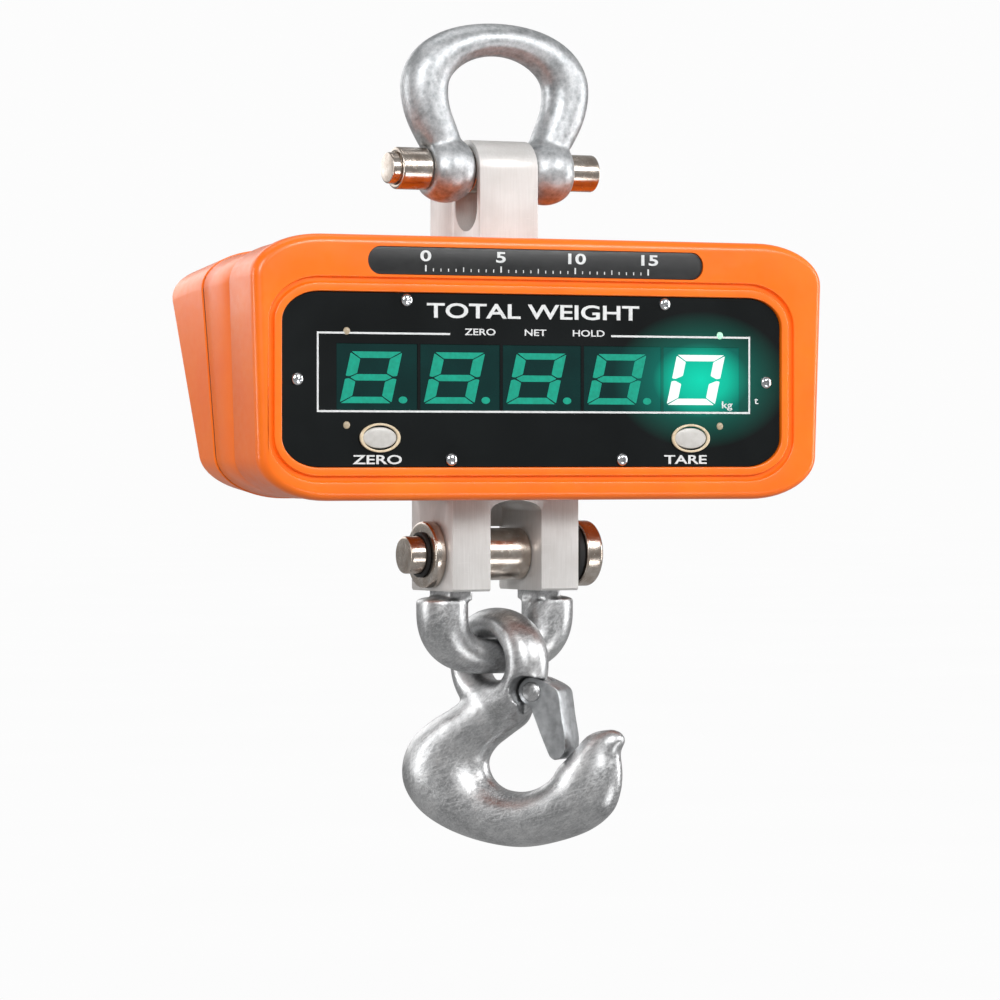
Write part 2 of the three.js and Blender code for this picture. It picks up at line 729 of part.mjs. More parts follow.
function hookBody() {
  const flat = ([x, z]) => new THREE.Vector3(x, 0, z);
  const outer = new THREE.CatmullRomCurve3(hookSections.map(([out]) => flat(out)));
  const inner = new THREE.CatmullRomCurve3(hookSections.map(([, into]) => flat(into)));
  const halves = hookSections.map(([, , half]) => new THREE.Vector3(half, 0, 0));
  const thickness = new THREE.CatmullRomCurve3(halves);
  for (const curve of [outer, inner, thickness]) curve.curveType = 'catmullrom';
  const rings = [];
  const steps = 2 * (hookSections.length - 1);
  for (let i = 0; i <= steps; i += 1) {
    const out = outer.getPoint(i / steps);
    const into = inner.getPoint(i / steps);
    const centre = out.clone().add(into).multiplyScalar(0.5);
    const half = new THREE.Vector3(0, thickness.getPoint(i / steps).x, 0);
    rings.push(barRing(centre, out.sub(centre), half, 16));
  }
  return loft(rings);
}

function hookEye() {
  const rings = [];
  const steps = 24;
  for (let i = 0; i < steps; i += 1) {
    const angle = (2 * Math.PI * i) / steps;
    const outward = new THREE.Vector3(Math.cos(angle), 0, Math.sin(angle));
    const side = blend(eyeSideBar, eyeLatchBar, (1 + Math.cos(angle)) / 2);
    const fill = eyeFill * Math.max(-Math.sin(angle), 0) ** 2;
    const bar = blend(side, eyeTopBar, Math.max(Math.sin(angle), 0) ** 2) + fill;
    const centre = outward.clone().multiplyScalar(eyeHoleRadius - fill + bar / 2);
    const through = new THREE.Vector3(0, eyeHalfThickness, 0);
    rings.push(barRing(centre, outward.multiplyScalar(bar / 2), through, 14));
  }
  return loft(rings, true).rotate([0, 0, eyeTwist]);
}

// Outline of the latch in the hook's plane, from the centre of the eye.
const latchOutline = [
  [28, -27], [29, -19], [36, -12.5], [45, -12], [60, -18], [67.5, -23], [71, -48.5],
  [74.4, -65], [74, -76.5], [70, -83], [64, -86], [59, -83], [50.5, -64.5],
  [43.5, -47], [39, -38], [32, -34.5],
];

// The latch's outline moved out by a distance along its corners.
function grownOutline(points, distance) {
  const count = points.length;
  const corners = points.map(([x, z], i) => {
    const [bx, bz] = points[(i + count - 1) % count];
    const [ax, az] = points[(i + 1) % count];
    const along = new THREE.Vector2(ax - bx, az - bz).normalize();
    return new THREE.Vector2(x - along.y * distance, z + along.x * distance);
  });
  return new THREE.Shape(corners);
}

function hook() {
  const [pivotX, pivotZ] = latchPivot;
  const inside = tongueHalfThickness + latchPlay;
  const outside = inside + cheekThickness;
  let made = hookEye().add(hookBody());
  made = made.add(rodY(tongueRadius, -inside - 1, inside + 1, pivotX, pivotZ));
  for (const side of [-1, 1]) {
    const [y0, y1] = side > 0 ? [tongueHalfThickness, 60] : [-60, -tongueHalfThickness];
    for (let angle = 0; angle <= latchSweep; angle += latchSweep / 4) {
      const room = slabY(grownOutline(latchOutline, 1.2), y0, y1);
      const turnedRoom = room.translate([-pivotX, 0, -pivotZ]).rotate([0, angle, 0]);
      made = made.subtract(turnedRoom.translate([pivotX, 0, pivotZ]));
    }
  }
  made = made.subtract(rodY(latchPinRadius + gap, -60, 60, pivotX, pivotZ));
  place('hook', made, forged, hookGroup);

  const outline = grownOutline(latchOutline, 0);
  let latch = slabY(outline, -outside, outside);
  const hollow = new THREE.Shape(latchOutline.map(([x, z]) => new THREE.Vector2(x, z)));
  const slit = slabY(hollow, -inside, inside).translate([-latchSpine, 0, 0]);
  latch = latch.subtract(slit);
  latch = latch.subtract(rodY(tongueRadius + 2, -inside, inside, pivotX, pivotZ));
  latch = latch.subtract(box(0, pivotX + tongueRadius, -inside, inside, pivotZ - 10, 0));
  latch = latch.subtract(rodY(latchPinRadius + gap, -60, 60, pivotX, pivotZ));
  place('latch', latch, zincPlate, hookGroup);

  const rivet = turnedY([
    [-outside - gap - rivetHeight, 0],
    [-outside - gap - rivetHeight, rivetRadius * 0.55],
    [-outside - gap - rivetHeight * 0.55, rivetRadius * 0.9],
    [-outside - gap, rivetRadius],
    [-outside - gap, latchPinRadius],
    [outside + gap, latchPinRadius],
    [outside + gap, rivetRadius],
    [outside + gap + rivetHeight * 0.55, rivetRadius * 0.9],
    [outside + gap + rivetHeight, rivetRadius * 0.55],
    [outside + gap + rivetHeight, 0],
  ], pivotX, pivotZ);
  place('latch_pin', rivet, forged, hookGroup);
}

// ---- Housing shells -------------------------------------------------------------------

// How far the top has come down at a depth.
const topFall = (y) => topSlope * Math.max(y - frontY - flangeDepth, 0);

// A closed outline of the housing at one depth. yTop and yBottom let it lean; inset moves
// it inwards all round.
function housingRing(yTop, yBottom, inset) {
  const halfWidth = housingWidth / 2 - inset;
  const [low, high] = [housingBottom + inset, housingTop - topFall(yTop) - inset];
  const radiusX = Math.max(cornerX - inset, 2);
  const radiusZ = Math.max(cornerZ - inset, 2);
  const facets = 5;
  const corners = [
    [halfWidth - radiusX, low + radiusZ, -Math.PI / 2],
    [halfWidth - radiusX, high - radiusZ, 0],
    [-halfWidth + radiusX, high - radiusZ, Math.PI / 2],
    [-halfWidth + radiusX, low + radiusZ, Math.PI],
  ];
  const ring = [];
  for (const [x, z, start] of corners) {
    for (let i = 0; i <= facets; i += 1) {
      const angle = start + (i / facets) * (Math.PI / 2);
      const pointZ = z + radiusZ * Math.sin(angle);
      const up = (pointZ - housingBottom) / housingHeight;
      const narrowing = 1 - (housingTaper / housingWidth) * (1 - up);
      const pointX = housingShift + (x + radiusX * Math.cos(angle)) * narrowing;
      ring.push(new THREE.Vector3(pointX, blend(yBottom, yTop, up), pointZ));
    }
  }
  return ring;
}

const levelRing = (y, inset) => housingRing(y, y, inset);
const seamRing = (offset, inset) =>
  housingRing(channelY + seamTopDepth + offset, channelY + seamBottomDepth + offset, inset);
const backRing = (offset, inset) => housingRing(backTopY + offset, backBottomY + offset, inset);

// Room for the load cell and its bracket through the top and bottom walls.
function loadCellRoom() {
  const above = box(-lugHalfWidth - bodyClearance, lugHalfWidth + bodyClearance,
    -lugHalfDepth - bodyClearance, bracketBackY + bodyClearance,
    housingTop - channelDepth - 2 * wall, upperPinZ);
  const below = box(-blockHalfWidth - bodyClearance, blockHalfWidth + bodyClearance,
    -blockHalfDepth - bodyClearance, blockHalfDepth + bodyClearance,
    lowerPinZ, (housingTop + housingBottom) / 2);
  return above.add(below);
}

function panelOutline(grow) {
  const width = 2 * (panelHalfWidth + grow);
  const height = panelTop - panelBottom + 2 * grow;
  return roundedRectangle(width, height, panelCornerX + grow, panelCornerZ + grow,
    0, (panelTop + panelBottom) / 2);
}

function windowOutline() {
  const low = panelBottom + ledgeBottom;
  const high = panelTop - ledgeTop;
  return roundedRectangle(2 * (panelHalfWidth - ledgeSide), high - low, 12, 12,
    0, (low + high) / 2);
}

const plateZ = housingTop - plateTopMargin - plateHeight / 2;
const plateOutline = (grow) => roundedRectangle(plateWidth + 2 * grow, plateHeight + 2 * grow,
  plateHeight / 2 + grow, plateHeight / 2 + grow, 0, plateZ);

// The six screws that hold the panel, as [x, z].
const panelScrews = [
  [-topScrewX, panelTop - screwInset],
  [topScrewX, panelTop - screwInset],
  [-panelHalfWidth + sideScrewInset, (panelTop + panelBottom) / 2],
  [panelHalfWidth - sideScrewInset, (panelTop + panelBottom) / 2],
  [-bottomScrewX, panelBottom + screwInset],
  [bottomScrewX, panelBottom + screwInset],
];

// The channel sunk across the top between the front band and the parting line.
function channel(grow) {
  return box(-housingWidth, housingWidth, channelY - grow, channelY + 3 * seamTopDepth,
    housingTop - channelDepth - grow, housingTop + 10);
}

// Everything between two distances behind the parting line.
const behindSeam = (near, far) => loft([seamRing(near, -wall), seamRing(far, -wall)]);

function frontCase() {
  const steps = 3;
  const rings = [];
  for (let i = 0; i <= steps; i += 1) {
    const angle = (i / steps) * (Math.PI / 2);
    rings.push(levelRing(frontY + edgeRounding * (1 - Math.cos(angle)),
      edgeRounding * (1 - Math.sin(angle))));
  }
  rings.push(levelRing(frontY + flangeDepth, 0));
  rings.push(levelRing(frontY + flangeDepth + flangeStep, flangeStep));
  rings.push(levelRing(channelY, flangeStep));
  rings.push(seamRing(-halfSeam, flangeStep));
  const inner = flangeStep + wall;
  const hollow = loft([
    levelRing(frontY + frontWall, inner),
    levelRing(channelY, inner),
    seamRing(5, inner),
  ]);
  let made = loft(rings).subtract(channel(0)).subtract(hollow.subtract(channel(wall)));

  const lip = slabY(panelOutline(lipWidth), frontY - 5, frontY + 20);
  const groove = slabY(panelOutline(lipWidth + grooveWidth), frontY - 1, frontY + grooveDepth);
  made = made.subtract(groove.subtract(lip));
  made = made.subtract(slabY(panelOutline(gap), frontY - 1, panelBackY + gap));
  made = made.subtract(slabY(windowOutline(), frontY, frontY + frontWall + 1));
  made = made.subtract(slabY(plateOutline(gap), frontY - 1,
    frontY + plateSunk + plateThickness + gap));
  for (const [x, z] of panelScrews) {
    made = made.subtract(rodY(screwShank + gap, frontY, frontY + frontWall + 1, x, z, 12));
  }

  const bossZ = lowerPinZ + bossAbovePin;
  const up = (bossZ - housingBottom) / housingHeight;
  const narrowing = 1 - (housingTaper / housingWidth) * (1 - up);
  const sideX = housingShift + (housingWidth / 2 - flangeStep) * narrowing;
  const bossX = sideX + bossOut;
  const bossFront = channelY + 3;
  const bossBack = bossFront + bossDepth;
  const arm = bossRadius * 0.8;
  const barrel = socketRadius * 0.62;
  made = made.add(rodY(bossRadius, bossFront, bossBack, bossX, bossZ));
  made = made.add(box(sideX - wall / 2, bossX, bossFront, bossBack, bossZ - arm, bossZ + arm));
  made = made.subtract(rodY(barrel + gap, bossFront - 1, bossBack - 5, bossX, bossZ));
  place('front_case', made.subtract(loadCellRoom()), orange);

  const flange = bossFront - gap;
  const socket = turnedY([
    [flange - 6, 5], [flange - 7, 6.5], [flange - 6.4, socketRadius - 3],
    [flange - 3.5, socketRadius - 0.8], [flange, socketRadius], [flange, barrel],
    [bossBack - 6, barrel], [bossBack - 6, 0], [bossFront + 4, 0], [bossFront + 4, 5],
    [flange - 6, 5],
  ], bossX, bossZ);
  place('charge_socket', socket, chrome);
}

// The seal on the parting line, one strip each side of the load cell.
function gaskets() {
  const half = gasketThickness / 2;
  const hollow = loft([seamRing(-5, flangeStep + wall), seamRing(5, flangeStep + wall)]);
  const outer = flangeStep + gasketInset;
  const ring = loft([seamRing(-half, outer), seamRing(half, outer)]).subtract(hollow);
  const strips = ring.subtract(loadCellRoom()).subtract(channel(wall));
  for (const [name, side] of [['gasket_left', -1], ['gasket_right', 1]]) {
    const far = side * housingWidth;
    const part = box(Math.min(0, far), Math.max(0, far), frontY, backTopY,
      housingBottom - 1, housingTop + 1);
    place(name, strips.intersect(part), rubber);
  }
}

// Moves a solid made round the origin onto the leaning back face: its own +Y looks out.
function onBack(shape, x = 0, z = 0) {
  const lean = -THREE.MathUtils.radToDeg(backTilt);
  const middleY = (backTopY + backBottomY) / 2;
  const middleZ = (housingTop + housingBottom) / 2;
  return shape.translate([x, 0, z]).rotate([lean, 0, 0]).translate([0, middleY, middleZ]);
}

const doorWidth = batteryWidth + 2 * doorMargin;
const doorHeight = batteryHeight + 2 * doorMargin;
const backHalfWidth = (housingWidth - housingTaper / 2) / 2 - rearDraft;
const backHalfHeight = housingHeight / 2 - rearDraft;
const coverScrews = [-1, 1].flatMap((side) => [
  -backHalfHeight + coverScrewInsetZ,
  backHalfHeight - topFall(backTopY) - coverScrewInsetZ,
].map((rise) => [housingShift + side * (backHalfWidth - coverScrewInsetX), rise]));
const doorScrews = [-1, 1].map((side) => [-batteryX + side * (doorWidth / 2 - doorLedge), 0]);

function rearCover() {
  const inset = flangeStep + rearDraft;
  const rings = [
    seamRing(halfSeam, flangeStep),
    backRing(-rearRounding, inset - 1),
    backRing(-rearRounding * 0.4, inset + rearRounding * 0.3),
    backRing(0, inset + rearRounding),
  ];
  const hollow = loft([
    seamRing(halfSeam - 5, flangeStep + wall),
    backRing(-backWall, inset + wall),
  ]);
  const faceWall = behindSeam(halfSeam - 6, halfSeam + wall).intersect(channel(wall));
  let cover = loft(rings).subtract(hollow.subtract(faceWall));
  for (const [x, z] of coverScrews) {
    const post = rodY(coverScrewRadius + 3, -backWall - 12, -backWall + 1, 0, 0);
    cover = cover.add(onBack(post, x, z));
    const shank = rodY(screwShank + gap, -backWall - 13, 1, 0, 0, 12);
    const sink = rodY(coverScrewRadius + gap, -3.4, 5, 0, 0);
    cover = cover.subtract(onBack(shank.add(sink), x, z));
  }
  const doorway = (grow, y0, y1) =>
    slabY(roundedRectangle(doorWidth + 2 * grow, doorHeight + 2 * grow, 9, 9), y0, y1);
  cover = cover.subtract(onBack(doorway(gap, -doorThickness - gap, 5), -batteryX, 0));
  cover = cover.subtract(onBack(doorway(-2 * doorLedge, -20, 5), -batteryX, 0));
  for (const [x, z] of doorScrews) {
    cover = cover.subtract(onBack(rodY(doorScrewHole, -20, 5, 0, 0, 12), x, z));
  }
  place('rear_cover', cover.subtract(loadCellRoom()), orange);

  let door = onBack(doorway(0, -doorThickness, 0), -batteryX, 0);
  for (const [x, z] of doorScrews) {
    door = door.subtract(onBack(rodY(doorScrewHole, -20, 5, 0, 0, 12), x, z));
  }
  place('battery_cover', door, orange);

  doorScrews.forEach(([x, z], i) => {
    const screw = turnedY([
      [-7, 0], [-7, 2], [gap, 2], [gap, doorScrewRadius], [1.6, doorScrewRadius],
      [2.8, doorScrewRadius * 0.7], [2.8, 0],
    ], 0, 0, 12);
    place(`battery_cover_screw_${i + 1}`, onBack(screw, x, z), chrome);
  });
  coverScrews.forEach(([x, z], i) => {
    const screw = turnedY([
      [-coverScrewLength, 0], [-coverScrewLength, screwShank], [-3, screwShank],
      [-3, coverScrewRadius], [-1.2, coverScrewRadius], [-0.4, coverScrewRadius * 0.7],
      [-0.4, 0],
    ], 0, 0, 12);
    place(`cover_screw_${i + 1}`, onBack(screw, x, z), chrome);
  });
}

// ---- Front panel and display ----------------------------------------------------------

const digitPitch = (2 * (panelHalfWidth - digitsSideMargin)) / digits;
const moduleWidth = digitPitch - moduleGap;
const displayLow = panelBottom + displayAboveBottom;
const displayHigh = panelTop - displayBelowTop;
const buttonZ = panelBottom + buttonAboveBottom;
const moduleX = (i) => digitShift + (i - (digits - 1) / 2) * digitPitch;
const leds = [
  ['led_top_left', -ledX, panelTop - ledBelowTop, ledCream],
  ['led_top_right', ledX, panelTop - ledBelowTop, ledGreen],
  ['led_bottom_left', -ledX, panelBottom + ledAboveBottom, ledCream],
  ['led_bottom_right', ledX, panelBottom + ledAboveBottom, ledCream],
];

function oval(halfWidth, halfHeight, x, z) {
  const shape = new THREE.Shape();
  shape.absellipse(x, z, halfWidth, halfHeight, 0, 2 * Math.PI);
  return shape;
}

function frontPanel() {
  let panel = slabY(panelOutline(0), panelY, panelBackY);
  for (let i = 0; i < digits; i += 1) {
    const x = moduleX(i);
    panel = panel.subtract(box(x - moduleWidth / 2 - gap, x + moduleWidth / 2 + gap,
      panelY - 1, panelBackY + 1, displayLow - gap, displayHigh + gap));
  }
  for (const side of [-1, 1]) {
    const hole = oval(buttonHalfWidth + running, buttonHalfHeight + running,
      side * buttonX, buttonZ);
    panel = panel.subtract(slabY(hole, panelY - 1, panelBackY + 1));
  }
  for (const [, x, z] of leds) {
    panel = panel.subtract(rodY(ledRadius + gap, panelY - 1, panelBackY + 1, x, z, 16));
  }
  for (const [x, z] of panelScrews) {
    panel = panel.subtract(rodY(screwShank + gap, panelY - 1, panelBackY + 1, x, z, 12));
  }
  place('display_panel', panel, blackPanel);
  const plateBack = frontY + plateSunk + plateThickness;
  place('capacity_plate', slabY(plateOutline(0), frontY + plateSunk, plateBack), plateBlack);

  panelScrews.forEach(([x, z], i) => {
    const head = panelY - gap;
    const screw = turnedY([
      [head - 3.2, 0], [head - 3.2, screwRadius * 0.35], [head - 2.3, screwRadius * 0.8],
      [head - 0.9, screwRadius], [head, screwRadius], [head, screwShank],
      [frontY + frontWall + 3, screwShank], [frontY + frontWall + 3, 0],
    ], x, z, 12);
    place(`panel_screw_${i + 1}`, screw, chrome);
  });
}

function display() {
  for (let i = 0; i < digits; i += 1) {
    const x = moduleX(i);
    const module = box(x - moduleWidth / 2, x + moduleWidth / 2, panelY + gap,
      boardY - gap, displayLow, displayHigh);
    place(`digit_module_${i + 1}`, module, segmentGreen);
  }
  const boardHalf = panelHalfWidth - ledgeSide - 2;
  let board = box(-boardHalf, boardHalf, boardY, boardY + boardThickness,
    panelBottom + ledgeBottom + 1, panelTop - ledgeTop - 1);
  for (const side of [-1, 1]) {
    const x = side * buttonX;
    board = board.add(box(x - 5, x + 5, boardY - 3.4, boardY + 0.1, buttonZ - 5, buttonZ + 5));
  }
  place('display_board', board, boardGreen);
  for (const [name, x, z, colour] of leds) {
    const led = turnedY([
      [panelY - 1, 0], [panelY - 0.6, ledRadius * 0.7], [panelY + 0.4, ledRadius],
      [boardY - gap, ledRadius], [boardY - gap, 0],
    ], x, z, 12);
    place(name, led, colour);
  }
}

function buttons() {
  for (const [name, side] of [['left', -1], ['right', 1]]) {
    const x = side * buttonX;
    const inner = running;
    const ringBack = panelY - gap;
    const ringFront = ringBack - 2.3;
    const ring = slabY(oval(buttonHalfWidth + running + buttonRim,
      buttonHalfHeight + running + buttonRim, x, buttonZ), ringFront, ringBack);
    const hole = slabY(oval(buttonHalfWidth + inner, buttonHalfHeight + inner, x, buttonZ),
      ringFront - 1, ringBack + 1);
    place(`button_ring_${name}`, ring.subtract(hole), rimCream);
    const capBack = boardY - 3.4 - 0.5 - buttonTravel;
    const cap = slabY(oval(buttonHalfWidth, buttonHalfHeight, x, buttonZ),
      ringFront + 0.2, capBack);
    place(`button_cap_${name}`, cap, capGrey);
  }
}

// ---- Inside ---------------------------------------------------------------------------

function inside() {
  const low = chassisZ - chassisHeight / 2;
  const high = chassisZ + chassisHeight / 2;
  const reach = (housingWidth - housingTaper) / 2 - flangeStep - wall - 2;
  const flangeX = lugHalfWidth + gap;
  for (const [name, side] of [['chassis_left', -1], ['chassis_right', 1]]) {
    const span = (a, b) => (side > 0 ? [a, b] : [-b, -a]);
    const [f0, f1] = span(flangeX, flangeX + flangeThickness);
    const [p0, p1] = span(flangeX, reach + side * housingShift);
    const flange = box(f0, f1, -16, 16, low, high - 40);
    const plate = box(p0, p1, chassisY, chassisY + chassisThickness, low, high);
    place(name, flange.add(plate), zincPlate);
  }
  const back = chassisY + chassisThickness + gap;
  const battery = roundedRectangle(batteryWidth, batteryHeight, 4, 4, -batteryX, chassisZ);
  place('battery', slabY(battery, back, back + batteryDepth, 4), batteryGrey);

  const boardX = batteryX;
  const boardHalf = [75, 38];
  let board = box(boardX - boardHalf[0], boardX + boardHalf[0], back, back + boardThickness,
    chassisZ - boardHalf[1], chassisZ + boardHalf[1]);
  for (const [x, z, width, height, depth] of [
    [-40, 10, 30, 30, 8], [15, 12, 22, 22, 4], [50, -18, 24, 12, 10], [-10, -22, 40, 10, 6],
  ]) {
    board = board.add(box(boardX + x - width / 2, boardX + x + width / 2, back + 1,
      back + boardThickness + depth, chassisZ + z - height / 2, chassisZ + z + height / 2));
  }
  place('main_board', board, boardGreen);
}

// ---- Assembly -------------------------------------------------------------------------

bowShackle();
loadCell();
bracket();
lowerPin();
link();
hook();
frontCase();
gaskets();
rearCover();
frontPanel();
display();
buttons();
inside();

export default root;
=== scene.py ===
# Crane scale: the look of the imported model. Everything is in the model's own frame.
# Shapes are worked out in millimetres and turned into metres where meshes are made.
import json
import math

import bmesh
import bpy
from mathutils import Matrix, Vector


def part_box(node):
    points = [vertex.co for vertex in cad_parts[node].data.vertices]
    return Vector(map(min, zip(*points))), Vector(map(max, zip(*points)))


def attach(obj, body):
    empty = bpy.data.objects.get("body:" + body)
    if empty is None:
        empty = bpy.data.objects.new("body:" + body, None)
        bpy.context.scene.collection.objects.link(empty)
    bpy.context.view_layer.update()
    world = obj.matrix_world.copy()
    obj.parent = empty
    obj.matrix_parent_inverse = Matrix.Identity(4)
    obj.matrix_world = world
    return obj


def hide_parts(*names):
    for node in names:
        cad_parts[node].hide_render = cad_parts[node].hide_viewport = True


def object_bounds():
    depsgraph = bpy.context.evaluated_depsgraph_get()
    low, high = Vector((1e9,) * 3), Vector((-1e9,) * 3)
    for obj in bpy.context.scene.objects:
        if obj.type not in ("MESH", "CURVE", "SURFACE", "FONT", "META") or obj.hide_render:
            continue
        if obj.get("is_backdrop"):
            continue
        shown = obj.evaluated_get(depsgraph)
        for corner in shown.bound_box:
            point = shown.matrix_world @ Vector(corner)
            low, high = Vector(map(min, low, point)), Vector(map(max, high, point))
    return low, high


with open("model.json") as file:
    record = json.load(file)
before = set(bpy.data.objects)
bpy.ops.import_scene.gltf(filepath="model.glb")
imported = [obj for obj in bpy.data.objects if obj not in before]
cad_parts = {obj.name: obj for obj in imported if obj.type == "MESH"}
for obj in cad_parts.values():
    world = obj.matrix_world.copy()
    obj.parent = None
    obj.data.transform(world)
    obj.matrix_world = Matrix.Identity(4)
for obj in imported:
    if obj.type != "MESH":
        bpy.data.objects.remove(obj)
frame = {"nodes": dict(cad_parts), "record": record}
cad_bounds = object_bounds()

MM = 0.001
HEAD = "scale_head"

def span(node):
    """The lowest and highest corner of a model node, in millimetres."""
    low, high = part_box(node)
    return low / MM, high / MM


def middle(node):
    low, high = span(node)
    return (low + high) / 2


def half_width(node):
    low, high = span(node)
    return (high.x - low.x) / 2


def half_height(node):
    low, high = span(node)
    return (high.z - low.z) / 2


def mix(a, b, share):
    return a + (b - a) * share


def quarter(steps):
    """The cosine and sine of angles from 0 to 90 degrees."""
    turns = [i / steps * math.pi / 2 for i in range(steps + 1)]
    return [(math.cos(turn), math.sin(turn)) for turn in turns]


def add_object(name, data):
    made = bpy.data.objects.new(name, data)
    bpy.context.scene.collection.objects.link(made)
    return made


# ---- Camera, floor and light, in metres --------------------------------------------------

azimuth = math.radians(28)
camera_distance = 4.5
camera_height = -0.3585
camera_data = bpy.data.cameras.new("camera")
camera_data.lens = 180
camera_data.sensor_width = 36
camera_data.shift_x = 0.005
camera_data.shift_y = -0.045
camera_data.clip_end = 200
camera = add_object("camera", camera_data)
camera.location = (
    -camera_distance * math.sin(azimuth),
    -camera_distance * math.cos(azimuth),
    camera_height,
)
camera.rotation_euler = (math.radians(90), 0, -azimuth)
bpy.context.scene.camera = camera

heart = Vector((0, 0, -0.34))


def soft_box(name, place, width, height, power):
    """A rectangular lamp that looks at the heart of the scale."""
    data = bpy.data.lights.new(name, "AREA")
    data.shape = "RECTANGLE"
    data.size = width
    data.size_y = height
    data.energy = power
    light = add_object(name, data)
    light.location = place
    light.rotation_euler = (heart - Vector(place)).to_track_quat("-Z", "Y").to_euler()


soft_box("key", (-1.6, -3.0, 1.2), 1.3, 1.5, 66)
soft_box("front", (1.3, -2.6, 1.15), 1.3, 0.7, 42)
soft_box("under", (1.2, -2.4, -1.9), 1.2, 0.6, 13)
soft_box("left", (-2.7, 0.9, 0.1), 0.6, 1.8, 24)
soft_box("right", (2.6, -0.9, -0.1), 0.6, 2.0, 30)
soft_box("top", (0, 0.2, 2.0), 1.8, 1.2, 10)
soft_box("back", (-0.6, 2.6, 0.6), 2.2, 1.6, 18)

floor_height = -1.25
floor_half = 60
floor_mesh = bpy.data.meshes.new("floor")
floor_mesh.from_pydata([(x * floor_half, y * floor_half, floor_height)
                        for x, y in ((-1, -1), (1, -1), (1, 1), (-1, 1))], [], [(0, 1, 2, 3)])
floor = add_object("floor", floor_mesh)
floor.visible_glossy = False
floor.visible_diffuse = False
floor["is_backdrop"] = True

# ---- Materials ---------------------------------------------------------------------------

finishes = {}


def linear(red, green, blue):
    """A display colour, 0 to 255, as the linear colour that shaders take."""
    def one(value):
        value = value / 255
        return value / 12.92 if value <= 0.04045 else ((value + 0.055) / 1.055) ** 2.4
    return (one(red), one(green), one(blue), 1)


def shade(value):
    """A shader colour from a grey, a display colour of three numbers or a linear one of four."""
    if isinstance(value, (int, float)):
        return (value, value, value, 1)
    return linear(*value) if len(value) == 3 else value


def set_stops(node, stops):
    marks = node.color_ramp.elements
    while len(marks) < len(stops):
        marks.new(0.5)
    for mark, (place, value) in zip(marks, stops):
        mark.position = place
        mark.color = shade(value)


